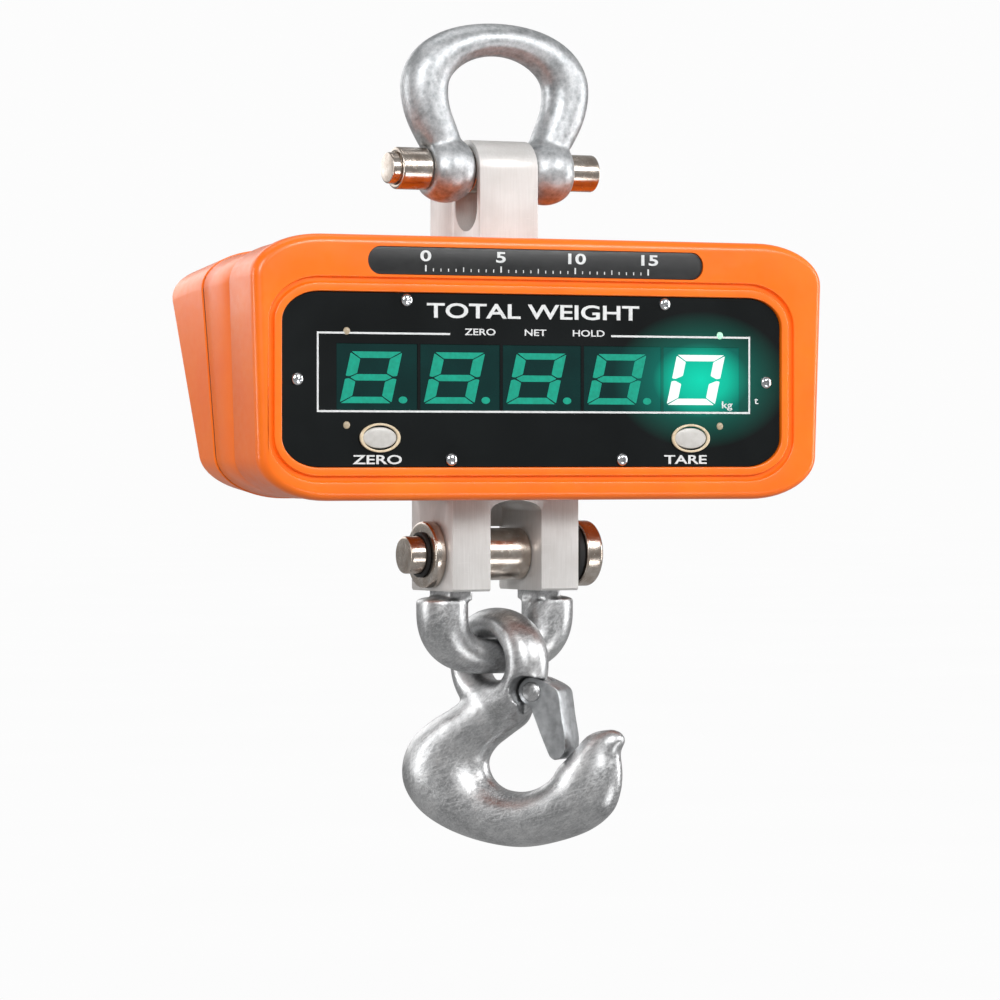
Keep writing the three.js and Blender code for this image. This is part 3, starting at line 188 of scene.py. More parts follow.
class Finish:
    """A node material being put together; finishes holds it by its name."""

    def __init__(self, name, colour, metallic=0.0, roughness=0.5):
        self.material = bpy.data.materials.new(name)
        self.material.use_nodes = True
        self.nodes = self.material.node_tree.nodes
        self.links = self.material.node_tree.links
        self.shader = self.nodes["Principled BSDF"]
        self.set("Base Color", shade(colour))
        self.set("Metallic", metallic)
        self.set("Roughness", roughness)
        self.coordinates = self.nodes.new("ShaderNodeTexCoord").outputs["Object"]
        self.material.diffuse_color = shade(colour)
        finishes[name] = self.material

    def set(self, socket, value):
        self.shader.inputs[socket].default_value = value

    def link(self, output, socket):
        self.links.new(output, self.shader.inputs[socket])

    def placed(self, stretch=(1, 1, 1), turn=(0, 0, 0)):
        mapping = self.nodes.new("ShaderNodeMapping")
        mapping.vector_type = "TEXTURE"
        mapping.inputs["Scale"].default_value = [1 / share for share in stretch]
        mapping.inputs["Rotation"].default_value = [math.radians(angle) for angle in turn]
        self.links.new(self.coordinates, mapping.inputs["Vector"])
        return mapping.outputs["Vector"]

    def noise(self, size, detail=3.0, stretch=(1, 1, 1), distortion=0.0, turn=(0, 0, 0)):
        """Noise whose features are about size millimetres across."""
        made = self.nodes.new("ShaderNodeTexNoise")
        made.inputs["Scale"].default_value = 1 / (size * MM)
        made.inputs["Detail"].default_value = detail
        made.inputs["Distortion"].default_value = distortion
        self.links.new(self.placed(stretch, turn), made.inputs["Vector"])
        return made.outputs["Fac"]

    def cells(self, size):
        made = self.nodes.new("ShaderNodeTexVoronoi")
        made.inputs["Scale"].default_value = 1 / (size * MM)
        made.inputs["Randomness"].default_value = 1.0
        self.links.new(self.coordinates, made.inputs["Vector"])
        return made.outputs["Distance"]

    def scratches(self, size, turns):
        """Fine grinding marks that run in several directions."""
        along = (1, 1, 0.07)
        marks = None
        for turn in turns:
            one = self.ramp(self.noise(size, 3, along, 0.3, turn), [(0.5, 0.0), (0.68, 1.0)])
            marks = one if marks is None else self.blend(1.0, marks, one, "LIGHTEN")
        return marks

    def rings(self, size, along):
        """Turning marks that are size millimetres apart."""
        spacing_at_scale_one = 0.314
        made = self.nodes.new("ShaderNodeTexWave")
        made.wave_type = "BANDS"
        made.bands_direction = along
        made.inputs["Scale"].default_value = spacing_at_scale_one / (size * MM)
        made.inputs["Distortion"].default_value = 1.2
        made.inputs["Detail"].default_value = 2.0
        self.links.new(self.coordinates, made.inputs["Vector"])
        return made.outputs["Fac"]

    def ramp(self, factor, stops):
        made = self.nodes.new("ShaderNodeValToRGB")
        set_stops(made, stops)
        self.links.new(factor, made.inputs["Fac"])
        return made.outputs["Color"]

    def vary(self, socket, factor, stops):
        self.link(self.ramp(factor, stops), socket)

    def blend(self, factor, first, second, mode="MIX"):
        """Two colours mixed; 6, 7 and output 2 are the node's sockets for colours."""
        made = self.nodes.new("ShaderNodeMix")
        made.data_type = "RGBA"
        made.blend_type = mode
        for socket, value in ((0, factor), (6, first), (7, second)):
            if isinstance(value, float):
                made.inputs[socket].default_value = value
            elif isinstance(value, tuple):
                made.inputs[socket].default_value = shade(value)
            else:
                self.links.new(value, made.inputs[socket])
        return made.outputs[2]

    def cover(self, under, colour, factor, stops):
        """A colour laid over what is under it, as far as the ramp says."""
        return self.blend(self.ramp(factor, stops), under, colour)

    def bump(self, height, depth, strength=1.0, below=None):
        """Relief of depth millimetres; below is the output of an earlier bump."""
        made = self.nodes.new("ShaderNodeBump")
        made.inputs["Strength"].default_value = strength
        made.inputs["Distance"].default_value = depth * MM
        self.links.new(height, made.inputs["Height"])
        if below is not None:
            self.links.new(below, made.inputs["Normal"])
        return made.outputs["Normal"]

    def relief(self, height, depth, strength, below=None):
        self.link(self.bump(height, depth, strength, below), "Normal")


def galvanised_finish():
    made = Finish("galvanised", (166, 169, 172), 0.9, 0.4)
    cloud = made.noise(16, 5, distortion=0.7)
    grain = made.noise(1.6, 4)
    mottle = made.blend(0.35, cloud, made.cells(4.5))
    tone = made.ramp(mottle, [
        (0.25, (148, 152, 155)), (0.42, (174, 177, 179)),
        (0.6, (196, 198, 200)), (0.8, (212, 213, 214)),
    ])
    marks = made.scratches(2.0, ((20, 40, 0), (80, 10, 30), (40, 90, 70)))
    worn = made.cover(tone, (222, 223, 224), marks, [(0.0, 0.0), (1.0, 0.22)])
    grained = made.cover(worn, (120, 124, 128), grain, [(0.4, 0.0), (0.75, 0.3)])
    made.link(grained, "Base Color")
    made.vary("Roughness", cloud, [(0.3, 0.38), (0.7, 0.54)])
    made.relief(grain, 0.1, 0.5, made.bump(made.noise(11, 3), 0.5, 0.5))


def forged_finish():
    made = Finish("forged", (170, 171, 172), 1.0, 0.33)
    tone = made.ramp(made.noise(26, 4), [
        (0.3, (160, 161, 162)), (0.5, (188, 189, 190)), (0.72, (212, 212, 212)),
    ])
    stain = made.noise(17, 5, distortion=1.0)
    stained = made.cover(tone, (138, 116, 96), stain, [(0.58, 0.0), (0.8, 0.14)])
    marks = made.scratches(1.9, ((15, 30, 0), (75, 0, 40), (35, 80, 65), (60, 50, 20)))
    worn = made.cover(stained, (234, 234, 234), marks, [(0.0, 0.0), (1.0, 0.45)])
    dark = made.scratches(1.7, ((50, 20, 10), (5, 70, 30)))
    scored = made.cover(worn, (110, 111, 112), dark, [(0.0, 0.0), (1.0, 0.26)])
    made.link(scored, "Base Color")
    made.vary("Roughness", marks, [(0.0, 0.33), (1.0, 0.47)])
    made.relief(marks, 0.03, 0.5, made.bump(made.noise(11, 2), 0.7, 0.5))


def turned_finish():
    made = Finish("turned", (186, 172, 158), 1.0, 0.2)
    made.vary("Base Color", made.noise(12, 4), [
        (0.3, (178, 164, 152)), (0.55, (198, 188, 178)), (0.8, (216, 210, 204)),
    ])
    made.vary("Roughness", made.noise(5, 4), [(0.3, 0.18), (0.75, 0.3)])
    made.relief(made.rings(0.8, "X"), 0.01, 0.35)


def machined_finish():
    made = Finish("machined", (222, 219, 216), 0.3, 0.34)
    brushed = made.noise(1.2, 4, (1.0, 1.0, 0.05))
    tone = made.ramp(made.noise(30, 4), [(0.3, (206, 203, 200)), (0.7, (222, 220, 218))])
    lined = made.cover(tone, (188, 184, 180), brushed, [(0.3, 0.0), (0.8, 0.4)])
    scratch = made.noise(0.9, 5, (0.06, 1.0, 1.0), 0.6)
    scratched = made.cover(lined, (242, 241, 240), scratch, [(0.66, 0.0), (0.74, 0.4)])
    made.link(scratched, "Base Color")
    made.vary("Roughness", brushed, [(0.2, 0.3), (0.8, 0.48)])
    made.relief(brushed, 0.03, 0.5)


def orange_finish():
    made = Finish("orange", (252, 122, 18), 0.0, 0.34)
    made.vary("Base Color", made.noise(60, 3), [(0.3, (252, 110, 2)), (0.7, (255, 120, 6))])
    made.vary("Roughness", made.noise(7, 4), [(0.3, 0.3), (0.75, 0.4)])
    made.set("Coat Weight", 0.15)
    made.set("Coat Roughness", 0.12)
    made.relief(made.noise(1.4, 2), 0.03, 0.6, made.bump(made.noise(8, 2), 0.16, 0.5))


# Where the painted glow round the lit character is centred, and how far it reaches across and up.
painted_glow_centre = middle("digit_module_5")
painted_glow_across, painted_glow_up = 92, 62


def painted_glow(made, stops):
    """Painted light: a glow, painted as emission, that falls off round the lit character in the plane
    of the panel and the display windows, which are no lamps.
    """
    shifted = made.nodes.new("ShaderNodeVectorMath")
    shifted.operation = "SUBTRACT"
    shifted.inputs[1].default_value = painted_glow_centre * MM
    made.links.new(made.coordinates, shifted.inputs[0])
    scaled = made.nodes.new("ShaderNodeVectorMath")
    scaled.operation = "MULTIPLY"
    scaled.inputs[1].default_value = (1 / (painted_glow_across * MM), 0, 1 / (painted_glow_up * MM))
    made.links.new(shifted.outputs[0], scaled.inputs[0])
    length = made.nodes.new("ShaderNodeVectorMath")
    length.operation = "LENGTH"
    made.links.new(scaled.outputs[0], length.inputs[0])
    made.vary("Emission Color", length.outputs["Value"], stops)
    made.set("Emission Strength", 1.0)


def panel_finish():
    made = Finish("panel", (10, 14, 16), 0.0, 0.22)
    made.set("Specular IOR Level", 0.32)
    smudge = made.noise(60, 4, distortion=0.4)
    made.vary("Base Color", smudge, [(0.3, (8, 12, 13)), (0.75, (12, 17, 18))])
    made.vary("Roughness", smudge, [(0.3, 0.2), (0.75, 0.26)])
    made.relief(made.noise(1.2, 3), 0.01, 0.4)
    # Painted light: a teal glow painted on the panel as emission round the lit character.
    painted_glow(made, [(0.0, (0.0, 0.62, 0.4, 1)), (0.3, (0.0, 0.34, 0.23, 1)),
                (0.55, (0.0, 0.09, 0.065, 1)), (1.0, (0.0, 0.0, 0.0, 1))])


def window_finish():
    made = Finish("segments", (0, 26, 26), 0.0, 0.22)
    made.set("Specular IOR Level", 0.32)
    made.vary("Base Color", made.noise(30, 3), [(0.3, (0, 24, 24)), (0.75, (0, 36, 34))])
    made.relief(made.noise(1.4, 2), 0.015, 0.5)
    # Painted light: the same teal glow painted on the display windows, with a faint painted glow over
    # all of them.
    painted_glow(made, [(0.0, (0.0, 0.7, 0.46, 1)), (0.3, (0.0, 0.52, 0.34, 1)),
                (0.55, (0.0, 0.12, 0.09, 1)), (1.0, (0.0, 0.012, 0.011, 1))])


def glowing_finish(name, dark, light, size, strength):
    """A lamp or a display segment: its light is a little uneven, as moulded diffusers are. On the
    unlit segments this emission is painted light, standing in for the light they catch.
    """
    made = Finish(name, dark, 0.0, 0.3)
    made.set("Base Color", tuple(0.25 * share for share in shade(dark)[:3]) + (1,))
    made.vary("Emission Color", made.noise(size, 2), [(0.3, dark), (0.7, light)])
    made.set("Emission Strength", strength)


def plastic_finish(name, dark, light, roughness, size=6.0, depth=0.03, coat=0.0):
    made = Finish(name, dark, 0.0, roughness)
    cloud = made.noise(size, 4)
    made.vary("Base Color", cloud, [(0.3, dark), (0.7, light)])
    made.vary("Roughness", cloud, [(0.3, roughness * 0.9), (0.75, roughness * 1.15)])
    made.relief(made.noise(1.1, 3), depth, 0.6)
    made.set("Coat Weight", coat)
    made.set("Coat Roughness", 0.15)


def plated_finish(name, dark, light, roughness):
    made = Finish(name, dark, 1.0, roughness)
    made.vary("Base Color", made.noise(7, 4), [(0.3, dark), (0.7, light)])
    made.vary("Roughness", made.noise(2.0, 4), [(0.3, roughness * 0.8), (0.75, roughness * 1.4)])
    made.relief(made.noise(0.9, 3), 0.012, 0.5)


def floor_finish():
    made = Finish("floor", (0, 0, 0), 0.0, 1.0)
    made.set("Specular IOR Level", 0.0)
    made.vary("Emission Color", made.noise(900, 2), [(0.3, 0.972), (0.7, 0.978)])
    made.set("Emission Strength", 1.0)


galvanised_finish()
forged_finish()
turned_finish()
machined_finish()
orange_finish()
panel_finish()
window_finish()
plastic_finish("plate", (26, 27, 28), (32, 33, 34), 0.42)
plastic_finish("rubber", (20, 20, 20), (34, 34, 34), 0.7, size=4, depth=0.08)
plastic_finish("board", (24, 80, 46), (34, 102, 60), 0.5, size=5, depth=0.05)
plastic_finish("cap", (190, 187, 182), (202, 199, 195), 0.36, size=5, depth=0.02, coat=0.2)
plastic_finish("rim", (206, 184, 150), (228, 210, 180), 0.3, size=3, depth=0.01, coat=0.6)
plastic_finish("battery", (48, 51, 55), (66, 69, 74), 0.55)
plastic_finish("print", (206, 208, 208), (228, 229, 229), 0.45, size=4, depth=0.02)
plated_finish("chrome", (196, 198, 201), (232, 233, 235), 0.12)
plated_finish("zinc", (168, 170, 172), (202, 204, 206), 0.36)
# Painted light: the unlit bars glow dim teal by emission, standing in for the light they would catch.
# The lit bars are the display's own light.
glowing_finish("segment_dim_painted_glow", (0, 138, 114), (0, 156, 130), 3, 1.0)
glowing_finish("segment_lit", (226, 240, 236), (244, 250, 248), 3, 1.0)
glowing_finish("led_green", (150, 236, 190), (226, 255, 240), 1.2, 0.9)
glowing_finish("led_cream", (232, 206, 166), (250, 238, 216), 1.2, 0.3)
floor_finish()
floor.data.materials.append(finishes["floor"])


def studio_sky():
    """White to the camera; to everything else greys that change with height."""
    world = bpy.data.worlds.new("studio")
    bpy.context.scene.world = world
    world.use_nodes = True
    nodes = world.node_tree.nodes
    links = world.node_tree.links
    coordinates = nodes.new("ShaderNodeTexCoord")
    parts = nodes.new("ShaderNodeSeparateXYZ")
    links.new(coordinates.outputs["Generated"], parts.inputs["Vector"])
    rise = nodes.new("ShaderNodeMapRange")
    rise.inputs["From Min"].default_value = -1
    rise.inputs["From Max"].default_value = 1
    links.new(parts.outputs["Z"], rise.inputs["Value"])
    ramp = nodes.new("ShaderNodeValToRGB")
    set_stops(ramp, [(0.0, 0.42), (0.3, 0.42), (0.46, 0.3), (0.58, 0.36), (0.78, 0.4), (1.0, 0.28)])
    links.new(rise.outputs["Result"], ramp.inputs["Fac"])
    seen = nodes["Background"]
    seen.inputs["Color"].default_value = (0.975, 0.975, 0.975, 1)
    lit = nodes.new("ShaderNodeBackground")
    links.new(ramp.outputs["Color"], lit.inputs["Color"])
    path = nodes.new("ShaderNodeLightPath")
    chosen = nodes.new("ShaderNodeMixShader")
    links.new(path.outputs["Is Camera Ray"], chosen.inputs["Fac"])
    links.new(lit.outputs["Background"], chosen.inputs[1])
    links.new(seen.outputs["Background"], chosen.inputs[2])
    links.new(chosen.outputs["Shader"], nodes["World Output"].inputs["Surface"])


studio_sky()
bpy.context.scene.view_settings.view_transform = "Standard"

# ---- Making pieces -----------------------------------------------------------------------


def from_faces(name, points, faces):
    """A closed mesh with its faces turned outwards."""
    mesh = bpy.data.meshes.new(name)
    mesh.from_pydata([Vector(point) * MM for point in points], [], faces)
    work = bmesh.new()
    work.from_mesh(mesh)
    bmesh.ops.remove_doubles(work, verts=work.verts, dist=1e-7)
    bmesh.ops.dissolve_degenerate(work, edges=work.edges, dist=1e-8)
    bmesh.ops.recalc_face_normals(work, faces=work.faces)
    work.to_mesh(mesh)
    work.free()
    return add_object(name, mesh)


def loft(name, rings, closes=False):
    """A skin through rings with the same number of points; its ends are capped or joined."""
    count = len(rings[0])
    points = [point for ring in rings for point in ring]
    faces = []
    for i in range(len(rings) if closes else len(rings) - 1):
        here = i * count
        there = ((i + 1) % len(rings)) * count
        for j in range(count):
            after = (j + 1) % count
            faces.append((here + j, here + after, there + after, there + j))
    if not closes:
        faces.append(tuple(range(count)))
        faces.append(tuple(range(len(points) - count, len(points))))
    return from_faces(name, points, faces)


def circle(radius_a, radius_b, sides):
    """The points of an ellipse as pairs."""
    turns = [2 * math.pi * i / sides for i in range(sides)]
    return [(radius_a * math.cos(turn), radius_b * math.sin(turn)) for turn in turns]


def turned_x(name, profile, z, sides=72):
    """A turned piece on an axis along X; the profile's points are (x, radius)."""
    rings = []
    for x, radius in profile:
        rings.append([(x, a, z + b) for a, b in circle(radius, radius, sides)])
    return loft(name, rings, profile[0] == profile[-1])


def turned_y(name, profile, x, z, sides=40, squash=1.0):
    """A turned piece on an axis along Y; squash below 1 makes it oval."""
    rings = []
    for y, radius in profile:
        rings.append([(x + a, y, z + b) for a, b in circle(radius, radius * squash, sides)])
    return loft(name, rings, profile[0] == profile[-1])


def cylinder_y(name, y0, y1, radius, x, z, sides=40, squash=1.0):
    return turned_y(name, [(y0, 0), (y0, radius), (y1, radius), (y1, 0)], x, z, sides, squash)


def rounded(points, radius, steps=4, closed=True):
    """The same outline with short arcs for corners."""
    made = []
    count = len(points)
    for i, point in enumerate(points):
        here = Vector(point)
        if not closed and i in (0, count - 1):
            made.append(point)
            continue
        before = Vector(points[i - 1]) - here
        after = Vector(points[(i + 1) % count]) - here
        reach = min(radius, before.length * 0.45, after.length * 0.45)
        start = here + before.normalized() * reach
        end = here + after.normalized() * reach
        for step in range(steps + 1):
            t = step / steps
            made.append(tuple(start * (1 - t) ** 2 + here * 2 * t * (1 - t) + end * t * t))
    return made


def profile_x(name, profile, z, edge=1.2):
    """A turned piece along X with rounded edges; its ends lie on the axis."""
    return turned_x(name, rounded(profile, edge, closed=False), z)


def cylinder_x(name, x0, x1, radius, z, edge=0.1):
    return profile_x(name, [(x0, 0), (x0, radius), (x1, radius), (x1, 0)], z, edge)


def ring_x(name, outer, inner, x0, x1, z, edge=1.2):
    """A ring or sleeve along X with rounded edges."""
    soft = rounded([(x0, inner), (x0, outer), (x1, outer), (x1, inner)], edge)
    return turned_x(name, soft + soft[:1], z)


def slab_y(name, outline, y0, y1):
    """An outline in X and Z between two depths."""
    near = [(x, y0, z) for x, z in outline]
    far = [(x, y1, z) for x, z in outline]
    return loft(name, [near, far])


def slab_x(name, outline, x0, x1):
    """An outline in Y and Z between two places along X."""
    near = [(x0, y, z) for y, z in outline]
    far = [(x1, y, z) for y, z in outline]
    return loft(name, [near, far])


def block(name, x0, x1, y0, y1, z0, z1):
    return slab_y(name, [(x0, z0), (x1, z0), (x1, z1), (x0, z1)], y0, y1)


def arc(x, z, radius, start, end, steps=24, squash=1.0):
    """Points on an arc, angles in degrees."""
    made = []
    for i in range(steps + 1):
        turn = math.radians(mix(start, end, i / steps))
        made.append((x + radius * math.cos(turn), z + squash * radius * math.sin(turn)))
    return made


def settle(obj):
    """The object's modifiers, worked into its mesh."""
    bpy.context.view_layer.update()
    graph = bpy.context.evaluated_depsgraph_get()
    made = bpy.data.meshes.new_from_object(obj.evaluated_get(graph))
    obj.modifiers.clear()
    old = obj.data
    obj.data = made
    bpy.data.meshes.remove(old)


def combine(target, others, operation):
    """Cuts the others out of target, or joins them to it."""
    for other in others:
        step = target.modifiers.new("step", "BOOLEAN")
        step.operation = operation
        step.solver = "EXACT"
        step.object = other
        settle(target)
        bpy.data.objects.remove(other)
    return target


def cut(target, *others):
    return combine(target, others, "DIFFERENCE")


def join(target, *others):
    return combine(target, others, "UNION")


def merged(name, parts):
    """One object that holds the meshes of several."""
    work = bmesh.new()
    for part in parts:
        work.from_mesh(part.data)
        bpy.data.objects.remove(part)
    mesh = bpy.data.meshes.new(name)
    work.to_mesh(mesh)
    work.free()
    return add_object(name, mesh)


def forge(obj, grain, rounds):
    """Melts joined shapes into one skin and smooths it, as a forging or casting is."""
    skin = obj.modifiers.new("skin", "REMESH")
    skin.mode = "VOXEL"
    skin.voxel_size = grain * MM
    soft = obj.modifiers.new("soft", "SMOOTH")
    soft.factor = 0.5
    soft.iterations = rounds
    settle(obj)
    return obj


def tidy_flats(obj):
    """Joins the triangles of flat faces, so that edges can be rounded cleanly."""
    work = bmesh.new()
    work.from_mesh(obj.data)
    bmesh.ops.remove_doubles(work, verts=work.verts, dist=1e-6)
    bmesh.ops.dissolve_limit(work, angle_limit=math.radians(1), verts=work.verts,
                             edges=work.edges)
    work.to_mesh(obj.data)
    work.free()


def soften(obj, width, angle=32, segments=2):
    """Rounds the edges sharper than angle."""
    tidy_flats(obj)
    edge = obj.modifiers.new("edge", "BEVEL")
    edge.width = width * MM
    edge.segments = segments
    edge.limit_method = "ANGLE"
    edge.angle_limit = math.radians(angle)
    edge.miter_outer = "MITER_ARC"
    settle(obj)
    return obj


def finish_piece(obj, slot, body, *stands_for, angle=32, skin=None):
    """Smooth shading between sharp edges, material, body, and the nodes it stands for."""
    for polygon in obj.data.polygons:
        polygon.use_smooth = True
    obj.data.set_sharp_from_angle(angle=math.radians(angle))
    obj.data.materials.clear()
    obj.data.materials.append(finishes[skin or slot])
    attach(obj, body)
    if stands_for:
        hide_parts(*stands_for)
    return obj

# ---- Bow shackle -------------------------------------------------------------------------

upper_pin_z = middle("pin_sleeve").z
upper_bore, lower_bore, latch_bore = 14.3, 17.2, 5.3
lower_pin_z = middle("clevis_spool").z


bow_eye_x, bow_eye_half, bow_eye_radius = 50.6, 19.9, 30.0
bow_widest_x, bow_widest_height, bow_crown_height = 71.7, 73.0, 117.8


def bow_station(t):
    """Right half of the bow, from the eye, t = 0, to the crown, t = 1."""
    eye_bar, widest_bar, crown_bar, through = 17, 22.5, 14.9, 18.5
    leg_share = 0.42
    if t < leg_share:
        s = t / leg_share
        corners = [(bow_eye_x, 0), (bow_eye_x, bow_widest_height * 0.42),
                   (bow_widest_x, bow_widest_height * 0.55), (bow_widest_x, bow_widest_height)]
        weights = [(1 - s) ** 3, 3 * s * (1 - s) ** 2, 3 * s * s * (1 - s), s ** 3]
        x = sum(w * c[0] for w, c in zip(weights, corners))
        height = sum(w * c[1] for w, c in zip(weights, corners))
        return x, height, mix(eye_bar, widest_bar, s), through
    turn = (t - leg_share) / (1 - leg_share) * math.pi / 2
    x = bow_widest_x * math.cos(turn)
    height = mix(bow_widest_height, bow_crown_height, math.sin(turn))
    return x, height, mix(crown_bar, widest_bar, math.cos(turn) ** 2), through


def bar(name, station, base_z, steps=56):
    """A round bar along a symmetrical bend in the X-Z plane."""
    stations = [station(i / steps) for i in range(steps + 1)]
    stations += [(-x, z, a, b) for x, z, a, b in reversed(stations[:-1])]
    rings = []
    for i, (x, z, across, through) in enumerate(stations):
        before = stations[max(i - 1, 0)]
        after = stations[min(i + 1, len(stations) - 1)]
        along = Vector((after[0] - before[0], after[1] - before[1])).normalized()
        outward = Vector((along.y, -along.x))
        rings.append([(x + outward.x * a, b, base_z + z + outward.y * a)
                      for a, b in circle(across, through, 32)])
    return loft(name, rings)


def bow_shackle():
    parts = [bar("shackle_bow_shape", bow_station, upper_pin_z)]
    steps = 16
    for side in (-1, 1):
        eye_x = side * bow_eye_x
        profile = [(eye_x - bow_eye_half, 0)]
        for i in range(steps + 1):
            x = mix(-bow_eye_half, bow_eye_half, i / steps)
            profile.append((eye_x + x, math.sqrt(bow_eye_radius ** 2 - x ** 2)))
        profile.append((eye_x + bow_eye_half, 0))
        parts.append(turned_x("eye", profile, upper_pin_z, 48))
    forged = forge(merged("bow_shape", parts), 1.7, 6)
    inside, outside = bow_eye_x - bow_eye_half, bow_eye_x + bow_eye_half
    depth, under, over = 40, 40, 30
    cut(forged, block("between", -inside, inside, -depth, depth,
                      upper_pin_z - under, upper_pin_z + over))
    seat_z = middle("shackle_nut").z
    reach = half_height("shackle_nut") + 2
    past_bow = outside + 60
    for x0, x1 in ((outside, past_bow), (-past_bow, -outside)):
        cut(forged, block("seat", x0, x1, -depth, depth, seat_z - reach, seat_z + reach))
    shaped = forge(forged, 1.5, 5)
    shaped.name = "bow_body"
    cut(shaped, cylinder_x("bore", -100, 100, upper_bore, upper_pin_z))
    finish_piece(shaped, "galvanised", "shackle", "shackle_bow", angle=50)

    low, high = span("shackle_pin")
    radius, head = 14, half_height("shackle_pin")
    start = outside + 0.3
    pin = profile_x("upper_pin", [
        (low.x, 0), (low.x, radius), (start, radius), (start, head), (high.x - 1, head),
        (high.x, head - 2), (high.x, 0),
    ], upper_pin_z, 1.6)
    finish_piece(pin, "turned", "shackle", "shackle_pin")
    low, high = span("shackle_nut")
    nut = ring_x("upper_nut", half_height("shackle_nut"), upper_bore, low.x, high.x, upper_pin_z, 2)
    finish_piece(nut, "turned", "shackle", "shackle_nut")


# ---- Load cell and what sits in it -------------------------------------------------------


def load_cell():
    low, high = span("load_cell")
    lug = span("suspension_bracket")[1].x
    case_bottom = span("front_case")[0].z
    lug_radius, lug_foot, block_top, chamfer = 27, 10, 44, 2
    lug_side = arc(0, upper_pin_z, lug_radius, 0, 180, 40)
    lug_side = [(-lug_radius, case_bottom + lug_foot), (lug_radius, case_bottom + lug_foot)] + lug_side
    body = slab_x("cell", lug_side, -lug, lug)
    side = [(low.y + chamfer, low.z), (high.y - chamfer, low.z), (high.y, low.z + chamfer),
            (high.y, case_bottom + block_top), (low.y, case_bottom + block_top),
            (low.y, low.z + chamfer)]
    join(body, slab_x("block", side, low.x, high.x))
    slot_radius, slot_length = 21, 34
    slot = arc(0, upper_pin_z, slot_radius, 0, 180, 32)
    slot += arc(0, upper_pin_z - slot_length, slot_radius, 180, 360, 32)
    past_lug, past_cell = 70, 90
    cut(body, slab_x("slot", slot, -past_lug, past_lug))
    fork, arch_base, arch_rise, back_rise, over = 25.8, 38.7, 10.2, 24.5, 5
    opening = [(-fork, low.z - over), (fork, low.z - over)]
    opening += arc(0, lower_pin_z + arch_base, fork, 0, 180, 32, arch_rise / fork)
    cut(body, slab_y("fork", opening, low.y - over, high.y - 6))
    cut(body, block("fork_back", -fork, fork, 0, high.y + over, low.z - over,
                    lower_pin_z + back_rise))
    ear_wall, ear_skin, ear_top = 6.2, 5, 32
    for direction in (-1, 1):
        x0, x1 = sorted((direction * (fork + ear_wall), direction * (high.x - ear_wall)))
        cut(body, block("ear", x0, x1, low.y + ear_skin, high.y - ear_skin, low.z - over,
                        lower_pin_z + ear_top))
    cut(body, cylinder_x("bore", -past_cell, past_cell, lower_bore, lower_pin_z))
    body.name = "cell_body"
    soften(body, 0.9)
    finish_piece(body, "machined", HEAD, "load_cell")

    low, high = span("pin_sleeve")
    sleeve = ring_x("upper_sleeve", half_height("pin_sleeve"), upper_bore + 0.1, low.x, high.x,
                    upper_pin_z)
    finish_piece(sleeve, "turned", HEAD, "pin_sleeve")


def bracket():
    """The bracket behind the lug, from the node's own outline with its edges rounded."""
    node = frame["nodes"]["suspension_bracket"]
    made = add_object("bracket_body", node.data.copy())
    soften(made, 1.0)
    finish_piece(made, "machined", HEAD, "suspension_bracket")


def lower_pin():
    # The third ring, of dark rubber, is painted shade: it is put between the spacer and the pin head,
    # where only a dark ring of shade shows at the head's inner face.
    for node, name, slot, edge in (
        ("pin_washer", "thick_washer", "turned", 2.4), ("pin_spacer", "bright_spacer", "turned", 1.0),
        ("pin_seal_ring", "dark_shade_ring", "rubber", 2.0), ("clevis_spool", "spool", "turned", 2.6),
        ("pin_retaining_ring", "snap_ring", "rubber", 0.6),
    ):
        low, high = span(node)
        ring = ring_x(name, half_height(node), lower_bore, low.x, high.x, lower_pin_z, edge)
        finish_piece(ring, slot, HEAD, node)
    low, high = span("clevis_pin")
    radius, head = 16.8, half_height("clevis_pin")
    start = span("pin_seal_ring")[1].x + 0.3
    dish = high.x - 0.8
    pin = profile_x("lower_pin", [
        (low.x, 0), (low.x, radius), (start, radius), (start, head), (high.x - 3, head),
        (high.x, head - 4), (high.x, head - 9), (dish, head - 10), (dish, 0),
    ], lower_pin_z, 2.2)
    finish_piece(pin, "turned", HEAD, "clevis_pin")


# ---- Link --------------------------------------------------------------------------------


def link_station(t):
    """Right half of the link, from the top of its leg, t = 0, to the bottom, t = 1."""
    leg_x, leg, small = 53.5, 23.4, 15.5
    top, shoulder_drop, bend, bottom = 37.2, 4.4, 50, 92
    shoulder, straight = 0.12, 0.3
    if t < shoulder:
        turn = t / shoulder * math.pi / 2
        radius = max(leg * math.sin(turn), 3)
        return leg_x, -(top + shoulder_drop * (1 - math.cos(turn))), radius, radius
    if t < straight:
        share = (t - shoulder) / (straight - shoulder)
        return leg_x, -mix(top + shoulder_drop, bend, share), leg, leg
    turn = (t - straight) / (1 - straight) * math.pi / 2
    power = 2 / 2.6
    x = leg_x * max(math.cos(turn), 0) ** power
    height = -mix(bend, bottom, math.sin(turn) ** power)
    radius = mix(small, leg, max(math.cos(turn), 0) ** 1.5)
    return x, height, radius, radius


def link():
    parts = [bar("link_shape", link_station, lower_pin_z, 48)]
    inner, outer, eye_radius, stem, stem_length = 33, 56.3, 28, 20.4, 41
    for side in (-1, 1):
        x0, x1 = sorted((side * inner, side * outer))
        parts.append(cylinder_x("eye", x0, x1, eye_radius, lower_pin_z, 2))
        parts.append(block("neck", x0, x1, -stem, stem, lower_pin_z - stem_length, lower_pin_z))
    made = forge(merged("link_body", parts), 1.6, 5)
    past_link = 80
    cut(made, cylinder_x("bore", -past_link, past_link, lower_bore, lower_pin_z))
    finish_piece(made, "forged", "link", "u_link", angle=50)


# ---- Hook, in its own plane and then turned into place -----------------------------------

